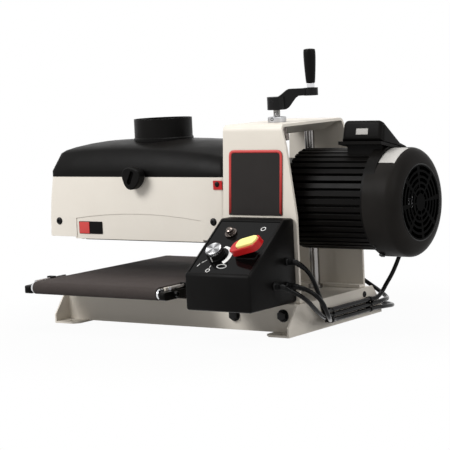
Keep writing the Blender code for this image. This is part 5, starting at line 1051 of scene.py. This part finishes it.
SCREWS = [  # kind, name, place, size, body
    (button_head, "housing_screw_left", facing((-0.2618, -0.0907, 0.1695), FRONT), 1.05, "head"),
    (button_head, "housing_screw_right", facing((0.0670, -0.0907, 0.1735), FRONT), 1.05, "head"),
    (button_head, "pointer_screw", facing((0.0775, -0.0908, 0.2350), FRONT), 0.75, "head"),
    (hex_head, "base_bolt_front_left", facing((0.1137, -0.1090, 0.0260), FRONT), 1.0, "base"),
    (hex_head, "base_bolt_front_right", facing((0.2074, -0.1090, 0.0290), FRONT), 1.0, "base"),
    (hex_head, "base_bolt_rear_left", facing((0.1137, 0.1090, 0.0260), REAR), 1.0, "base"),
    (hex_head, "base_bolt_rear_right", facing((0.2074, 0.1090, 0.0290), REAR), 1.0, "base"),
    (button_head, "end_plate_bolt", facing((0.2390, 0.0885, 0.0372), RIGHT), 0.85, "base"),
    (socket_head, "takeup_bolt_right", facing((0.0563, -0.1885, 0.0685), RIGHT), 1.0, "base"),
    (socket_head, "takeup_bolt_left", facing((-0.2403, -0.1885, 0.0685), LEFT), 1.0, "base"),
    (cross_head, "cowl_screw_front_top", on_cowl(COWL_SCREWS, 131.0), 1.0, "head"),
    (cross_head, "cowl_screw_rear_top", on_cowl(COWL_SCREWS, 49.0), 1.0, "head"),
    (cross_head, "cowl_screw_rear_low", on_cowl(COWL_SCREWS, -49.0), 1.0, "head"),
    (cross_head, "cowl_screw_front_low", on_cowl(COWL_SCREWS, -131.0), 1.0, "head"),
    (socket_head, "hub_set_screw", facing((0.1580, -0.0377, 0.3625), FRONT), 0.9, "crank"),
    (socket_head, "collar_set_screw", facing((0.1580, -0.0395, 0.3362), FRONT), 0.6, "base"),
]
for master, name, matrix, size, body in SCREWS:
    placed = matrix @ Matrix.Scale(size, 4) @ Matrix.Translation((0.0, 0.0, -SUNK))
    put(new_object(name, master.data.copy()), name, placed, body, ALLOY_BLACK)
for master in masters:
    bpy.data.objects.remove(master)
print("screws", len(SCREWS))

# %% [markdown]
# ## Column stud
# A stud hangs from the column's top plate beside its folded edge, with a hexagon head at its lower end.
# The head is a hexagon whose top face is chamfered, and a thinner rod joined to it is the shank.

# %% Column stud
stud = turned(6, 0.0080, 0.0100, [(0.0010, 0.0007), (0.0004, 0.0001)])
shank = start_rod(32, 0.0040, 0.0112, -0.0110)
shape(shank, "faces", lambda face: face.normal.z < -0.9, bpy.ops.mesh.inset, thickness=0.0004)
stud = join([stud, shank])
smooth(stud, 25)
put(stud, "column_stud", facing((0.2045, -0.0800, 0.3152), DOWN), "base", DIM_CHROME)
print("stud faces", len(stud.data.polygons))

# %% [markdown]
# ## Plates
# The machine carries thin plates: a badge in a shallow seat on the housing, a name plate bent round the
# motor's cowl, and small labels on the terminal box. All are bare here. A flat plate is a block with its
# corners rounded; the bent one is cut from the wall of a cylinder and then given its thickness. A lug
# under the cowl, which takes one of its screws, is made like a plate too.

# %% Plates


def flat_plate(name, matrix, length, height, thickness, corner, body, finish_used):
    made = start_block(length, height, thickness + SUNK, -SUNK)
    bevel_edges(made, upright, corner, 5)
    round_edges(made, min(0.0002, thickness / 3), 50.0)
    put(made, name, matrix, body, finish_used)


def bent_plate(name, radius, start_at, end_at, first, last, thickness):
    """A plate on the cowl between two places along the motor and two angles round it."""
    made = start(bpy.ops.mesh.primitive_cylinder_add, vertices=180, radius=radius, depth=end_at - start_at,
                 end_fill_type="NOTHING", rotation=(0.0, math.pi / 2, 0.0))
    pick(made, "faces", lambda face: not first < math.degrees(math.atan2(
        face.calc_center_median().z, face.calc_center_median().y)) < last)
    drop_faces()
    everything()
    bpy.ops.mesh.subdivide(number_cuts=7)
    bpy.ops.mesh.normals_make_consistent(inside=False)
    leave()
    turn_outwards(made, "yz")
    made.location = BASE + COWL_AXIS + Vector(((start_at + end_at) / 2, 0.0, 0.0))
    freeze(made)
    apply_modifier(made, "SHRINKWRAP", target=cowl, offset=0.00005, wrap_method="NEAREST_SURFACEPOINT")
    thicken(made, thickness)
    smooth(made, 30)
    seat(made, name, "head", PLATE_METAL)


PLATES = [  # name, place, length, height, thickness, corner, slot, finish
    ("badge_plate", facing((-0.1930, -0.08932, 0.1590), FRONT), 0.0512, 0.0212, 0.0007, 0.0012,
     "black_plastic", MOULDED),
    ("badge_field", facing((-0.2070, -0.09002, 0.1590), FRONT), 0.0222, 0.0200, 0.0003, 0.0010, "red", RED_INK),
    ("earth_label", facing((0.3440, -0.0330, 0.2822), FRONT), 0.0085, 0.0068, 0.0003, 0.0008,
     "aluminium", PLATE_METAL),
    ("terminal_label", facing((0.3255, -0.0428, 0.3150), (0, -0.982, 0.188)), 0.0215, 0.0100, 0.0004, 0.0010,
     "aluminium", PLATE_METAL),
    ("cowl_lug", on_cowl(0.3490, -114.0, 0.0858), 0.0085, 0.0075, 0.0042, 0.0014, "black_sheet", SHEET_BLACK),
]
for name, matrix, length, height, thickness, corner, slot, finish_used in PLATES:
    flat_plate(name, matrix, length, height, thickness, corner, "head", finish_used)
bent_plate("name_plate", radius=0.0862, start_at=0.3540, end_at=0.3885, first=97.0, last=131.0, thickness=0.0004)
print("plates", len(PLATES) + 1)

# %% [markdown]
# ## Terminal box lid
# The lid is a casting that is high in front and falls to the rear, with well-rounded upper edges. It
# begins as a block; its corners are moved to the lid's corners, and then its upper and front upright
# edges are selected and bevelled in one go, so that the roundings run into one another.

# %% Terminal box lid
LID_BLOCK = Vector((0.0722, 0.0656, 0.0040))
LID_CORNERS = {(-1, -1, 0): (0.2870, -0.0456, 0.3000), (1, -1, 0): (0.3620, -0.0456, 0.3000),
               (-1, 1, 0): (0.2880, 0.0200, 0.2868), (1, 1, 0): (0.3620, 0.0200, 0.2868),
               (-1, -1, 1): (0.2895, -0.0395, 0.3350), (1, -1, 1): (0.3620, -0.0395, 0.3350),
               (-1, 1, 1): (0.2900, 0.0200, 0.2915), (1, 1, 1): (0.3620, 0.0200, 0.2915)}
LID_SHOULDER, LID_FRONT, LID_ROUND = 0.320, -0.030, 0.0085
lid = start_block(*LID_BLOCK)
for (side, end, level), corner in LID_CORNERS.items():
    old = Vector((side / 2, end / 2, level)) * LID_BLOCK
    shape(lid, "verts", lambda vert: (vert.co - old).length < CLOSE, bpy.ops.transform.translate,
          value=BASE + Vector(corner) - old)
bevel_edges(lid, lambda edge: max(vert.co.z for vert in edge.verts) > LID_SHOULDER
            and min(vert.co.y for vert in edge.verts) - BASE.y < LID_FRONT, LID_ROUND, 6)
round_edges(lid, 0.0006, 45.0)
seat(lid, "terminal_lid", "head", CAST_BLACK, ["junction_lid"])
print("lid faces", len(lid.data.polygons))

# %% [markdown]
# ## Belt take-up brackets
# At each front corner of the conveyor a cast arm carries the roller, and a bright tensioning rod lies on
# top of it. The arm is a block with a rounded nose; the rod runs through a small lug, which is raised
# from a part of the arm's top face.

# %% Take-up brackets
ARM_WIDTH, ARM_LENGTH, ARM_HEIGHT, ARM_NOSE = 0.0140, 0.0760, 0.0134, 0.0062
LUG_START, LUG_END, LUG_HEIGHT = 0.0230, 0.0310, 0.0085


def takeup_arm(name, centre, node):
    arm = start_block(ARM_WIDTH, ARM_LENGTH, ARM_HEIGHT)
    bevel_edges(arm, lambda edge: all(abs(vert.co.y + ARM_LENGTH / 2) < CLOSE for vert in edge.verts)
                and abs(edge.verts[0].co.z - edge.verts[1].co.z) < CLOSE, ARM_NOSE, 5)
    edit(arm)
    for y in (LUG_START, LUG_END):
        everything()
        bpy.ops.mesh.bisect(plane_co=(0.0, y, 0.0), plane_no=(0.0, 1.0, 0.0))
    bpy.ops.mesh.select_all(action="DESELECT")
    choose(arm, "faces", lambda face: face.normal.z > 0.9 and LUG_START < face.calc_center_median().y < LUG_END)
    bpy.ops.mesh.extrude_region_move(TRANSFORM_OT_translate={"value": (0.0, 0.0, LUG_HEIGHT)})
    leave()
    round_edges(arm, 0.0007)
    put(arm, name, Matrix.Translation(BASE + Vector(centre)), "base", CAST_BLACK, [node])


takeup_arm("takeup_arm_right", (0.0493, -0.1795, 0.0606), "takeup_bracket_right")
takeup_arm("takeup_arm_left", (-0.2333, -0.1795, 0.0606), "takeup_bracket_left")
print("take-up arms 2")

# %% [markdown]
# ## Border of the column's panel
# A red line runs round the dark panel on its left, top and right sides. It is printed, so it is the
# panel's own front face: a copy of it is inset by the line's width, its middle and its lower side are
# deleted, and what is left gets a thickness like that of ink.

# %% Panel border
LINE_WIDTH = 0.0044
border = new_object("panel_border", frame["nodes"]["column_panel"].data.copy())
pick(border, "faces", lambda face: face.normal.y > -0.9)
drop_faces()
weld()
bpy.ops.mesh.dissolve_limited(angle_limit=math.radians(1.0))
everything()
bpy.ops.mesh.inset(thickness=LINE_WIDTH)
drop_faces()
lowest = min(vert.co.z for vert in bmesh.from_edit_mesh(border.data).verts)
choose(border, "faces", lambda face: face.calc_center_median().z < lowest + 0.005)
drop_faces()
everything()
move(0.0, CLOSE, 0.0)
leave()
if border.data.polygons[0].normal.y > 0.0:
    border.data.flip_normals()
forget_shading(border)
thicken(border, 0.0004)
seat(border, "panel_border", "base", RED_INK)
print("border faces", len(border.data.polygons))

# %% [markdown]
# ## Printed marks
# White marks on the sloping panel show what the controls do: a bar and a ring for on and off, a band that
# widens round the speed dial, an oval, and a small ring by the reset button. Each begins as a filled
# circle whose face is inset and whose middle is deleted; sliding the middle first makes the band widen.

# %% Printed marks
INK = 0.00025
INK_LEVEL = -0.00125


def mark_ring(across, height, line, place, slide=(0.0, 0.0), span=(-180.0, 180.0)):
    made = start(bpy.ops.mesh.primitive_circle_add, (across, height, 1.0), vertices=72, radius=0.5,
                 fill_type="NGON")
    edit(made)
    everything()
    bpy.ops.mesh.inset(thickness=line)
    move(*slide, 0.0)
    drop_faces()
    choose(made, "faces", lambda face: not span[0] <= math.degrees(
        math.atan2(face.calc_center_median().y, face.calc_center_median().x)) <= span[1])
    drop_faces()
    leave()
    thicken(made, INK)
    made.location = (*place, INK_LEVEL)
    freeze(made)
    return made


def mark_line(first, last, width):
    way = Vector(last) - Vector(first)
    made = start_block(way.length, width, INK)
    bevel_edges(made, upright, width * 0.45, 4)
    middle = (Vector(first) + Vector(last)) / 2
    made.matrix_world = (Matrix.Translation((*middle, INK_LEVEL))
                         @ Matrix.Rotation(math.atan2(way.y, way.x), 4, "Z"))
    freeze(made)
    return made


marks = join([
    mark_line((-0.0475, 0.0185), (-0.0447, 0.0250), 0.0014),
    mark_ring(0.0075, 0.0080, 0.0012, (-0.0230, 0.0108)),
    mark_ring(0.0180, 0.0095, 0.0010, (-0.0020, 0.0210)),
    mark_ring(0.0480, 0.0480, 0.0050, (-0.0197, 0.0420), slide=(-0.0018, 0.0012), span=(-42.0, 88.0)),
    mark_line((-0.0360, 0.0335), (-0.0430, 0.0270), 0.0011),
    mark_line((-0.0225, 0.0215), (-0.0229, 0.0163), 0.0011),
    mark_ring(0.0090, 0.0090, 0.0012, (0.0320, 0.1070), span=(-180.0, 150.0)),
    mark_line((0.0270, 0.1085), (0.0292, 0.1072), 0.0012),
])
put(marks, "panel_marks", PANEL, "base", WHITE_INK)
print("marks faces", len(marks.data.polygons))

# %% [markdown]
# ## Speed dial
# The dial is a black fluted knob under a bright turned crown. Flutes give fingers a hold: on the real
# knob they are moulded, here every second corner round the knob is pulled in towards the axis. The
# crown's edge is knurled in the same way, only finer, and its top is dished.

# %% Speed dial


def flute(item, count, depth, low, high):
    """Pull in every second corner between two heights."""
    shape(item, "verts", lambda vert: low < vert.co.z < high
          and round((math.atan2(vert.co.y, vert.co.x) / math.tau) * 2 * count) % 2 == 0,
          bpy.ops.transform.resize, value=(1.0 - depth, 1.0 - depth, 1.0), center_override=(0.0, 0.0, 0.0))
    smooth(item, 24)


knob = turned(64, 0.0150, 0.0022, [(0.0004, 0.0006), (0.0002, 0.0070), (0.0006, 0.0012)])
flute(knob, count=32, depth=0.05, low=0.0024, high=0.0105)
put(knob, "dial_knob", DIAL, "dial", MOULDED, ["speed_dial"])

crown = turned(96, 0.0136, 0.0050, [(0.0009, 0.0008), (0.0008, 0.0004), (0.0016, -0.0006)], 0.0108)
flute(crown, count=48, depth=0.035, low=0.0100, high=0.0160)
put(crown, "dial_crown", DIAL, "dial", SPUN, ["speed_dial_cap"])

line = start_block(0.0016, 0.0016, 0.0086, 0.0014)
shape(line, "faces", lambda face: face.normal.z > 0.9, bpy.ops.transform.resize, value=(0.7, 1.0, 1.0))
round_edges(line, 0.0002, 40.0)
put(line, "dial_line", DIAL @ Matrix.Translation((0.0, -0.0144, 0.0)), "dial", WHITE_INK)
print("dial faces", len(knob.data.polygons) + len(crown.data.polygons))

# %% [markdown]
# ## Rim of the fan grille
# A thin raised ring frames the openings in the end of the cowl. It is rolled into the sheet: a ring
# between two circles whose middle is lifted, which an inset and a shift of the inner face give.

# %% Grille rim
rim = start(bpy.ops.mesh.primitive_circle_add, vertices=144, radius=0.0608, fill_type="NGON")
edit(rim)
everything()
step_faces([(0.0004, 0.0006), (0.0006, 0.0002), (0.0006, -0.0002), (0.0004, -0.0006)])
drop_faces()
leave()
thicken(rim, 0.0003, -1.0)
smooth(rim, 60)
put(rim, "grille_rim", facing(COWL_AXIS + Vector((COWL_END, 0.0, 0.0)), RIGHT), "head",
    SHEET_BLACK)
print("rim faces", len(rim.data.polygons))

# %% [markdown]
# ## Cable ties
# Plastic ties hold the three leads to pads on the end plate, and one holds the coil. A tie is a flat band
# pulled round the bundle: a circle whose four quarters are moved apart to fit it, drawn out to the band's
# width and given a thickness, with the small head that locks it.

# %% Cable ties
TIE_WIDTH = 0.0036
TIE_SIDES = 32
TIE_HEAD = (0.0046, 0.0034, 1.25 * TIE_WIDTH)
END_FACE = 0.2390
COIL_TIE = Vector((COIL_CENTRE[0], COIL_CENTRE[1] - 0.0398, 0.00825))
ALONG_X = Matrix(((0, 0, 1, 0), (1, 0, 0, 0), (0, 1, 0, 0), (0, 0, 0, 1)))


def band(half_x, half_y, corner, thickness):
    made = start(bpy.ops.mesh.primitive_circle_add, vertices=TIE_SIDES, radius=corner,
                 rotation=(0.0, 0.0, math.pi / TIE_SIDES))
    for axis, half in ((0, half_x), (1, half_y)):
        for sign in (1.0, -1.0):
            shift = Vector()
            shift[axis] = sign * (half - corner)
            shape(made, "verts", lambda vert: vert.co[axis] * sign > 0.0, bpy.ops.transform.translate, value=shift)
    edit(made, "edges")
    everything()
    bpy.ops.mesh.extrude_edges_move(TRANSFORM_OT_translate={"value": (0.0, 0.0, TIE_WIDTH)})
    everything()
    move(0.0, 0.0, -TIE_WIDTH / 2)
    bpy.ops.mesh.normals_make_consistent(inside=False)
    leave()
    turn_outwards(made, "xy")
    thicken(made, thickness)
    head = start_block(*TIE_HEAD, -TIE_HEAD[2] / 2)
    round_edges(head, 0.0005, 40.0)
    head.location = (half_x + 0.0014, half_y * 0.35, 0.0)
    freeze(head)
    made = join([made, head])
    smooth(made, 40)
    return made


def crossing(points, y):
    """Where a route first crosses a plane across the machine, seen from the base's centre."""
    for here, ahead in zip(points, points[1:]):
        a, b = here.y - BASE.y - y, ahead.y - BASE.y - y
        if a <= 0.0 < b:
            return here.lerp(ahead, a / (a - b)) - BASE


def lead_tie(name, y):
    places = [crossing(points, y) for points in (mains_points, feed_points, motor_points)]
    low = Vector((min(p.x for p in places), y, min(p.z for p in places)))
    high = Vector((max(p.x for p in places), y, max(p.z for p in places)))
    middle = (low + high) / 2
    half_x, half_z = (high.x - low.x) / 2 + CORD / 2 + CLOSE, (high.z - low.z) / 2 + CORD / 2 + CLOSE
    upended = Matrix.Translation(BASE + middle) @ Matrix.Rotation(math.pi / 2, 4, "X")
    put(band(half_x, half_z, CORD / 2, 0.0008), name, upended, "base", MOULDED)
    flat_plate(name + "_pad", facing((END_FACE, y, middle.z), RIGHT), 0.0120, 2 * half_z, 0.0011, 0.0012,
               "base", MOULDED)


lead_tie("lead_tie_front", -0.0300)
lead_tie("lead_tie_rear", 0.0980)
coil_tie = band(0.0081, 0.00775, 0.0036, 0.0004)
put(coil_tie, "coil_tie", Matrix.Translation(BASE + COIL_TIE) @ ALONG_X, "base", MOULDED)
print("tie faces", len(coil_tie.data.polygons))

# %% [markdown]
# ## The cords
# The leads are the only soft pieces.

# %% Cords
print("leads built above")
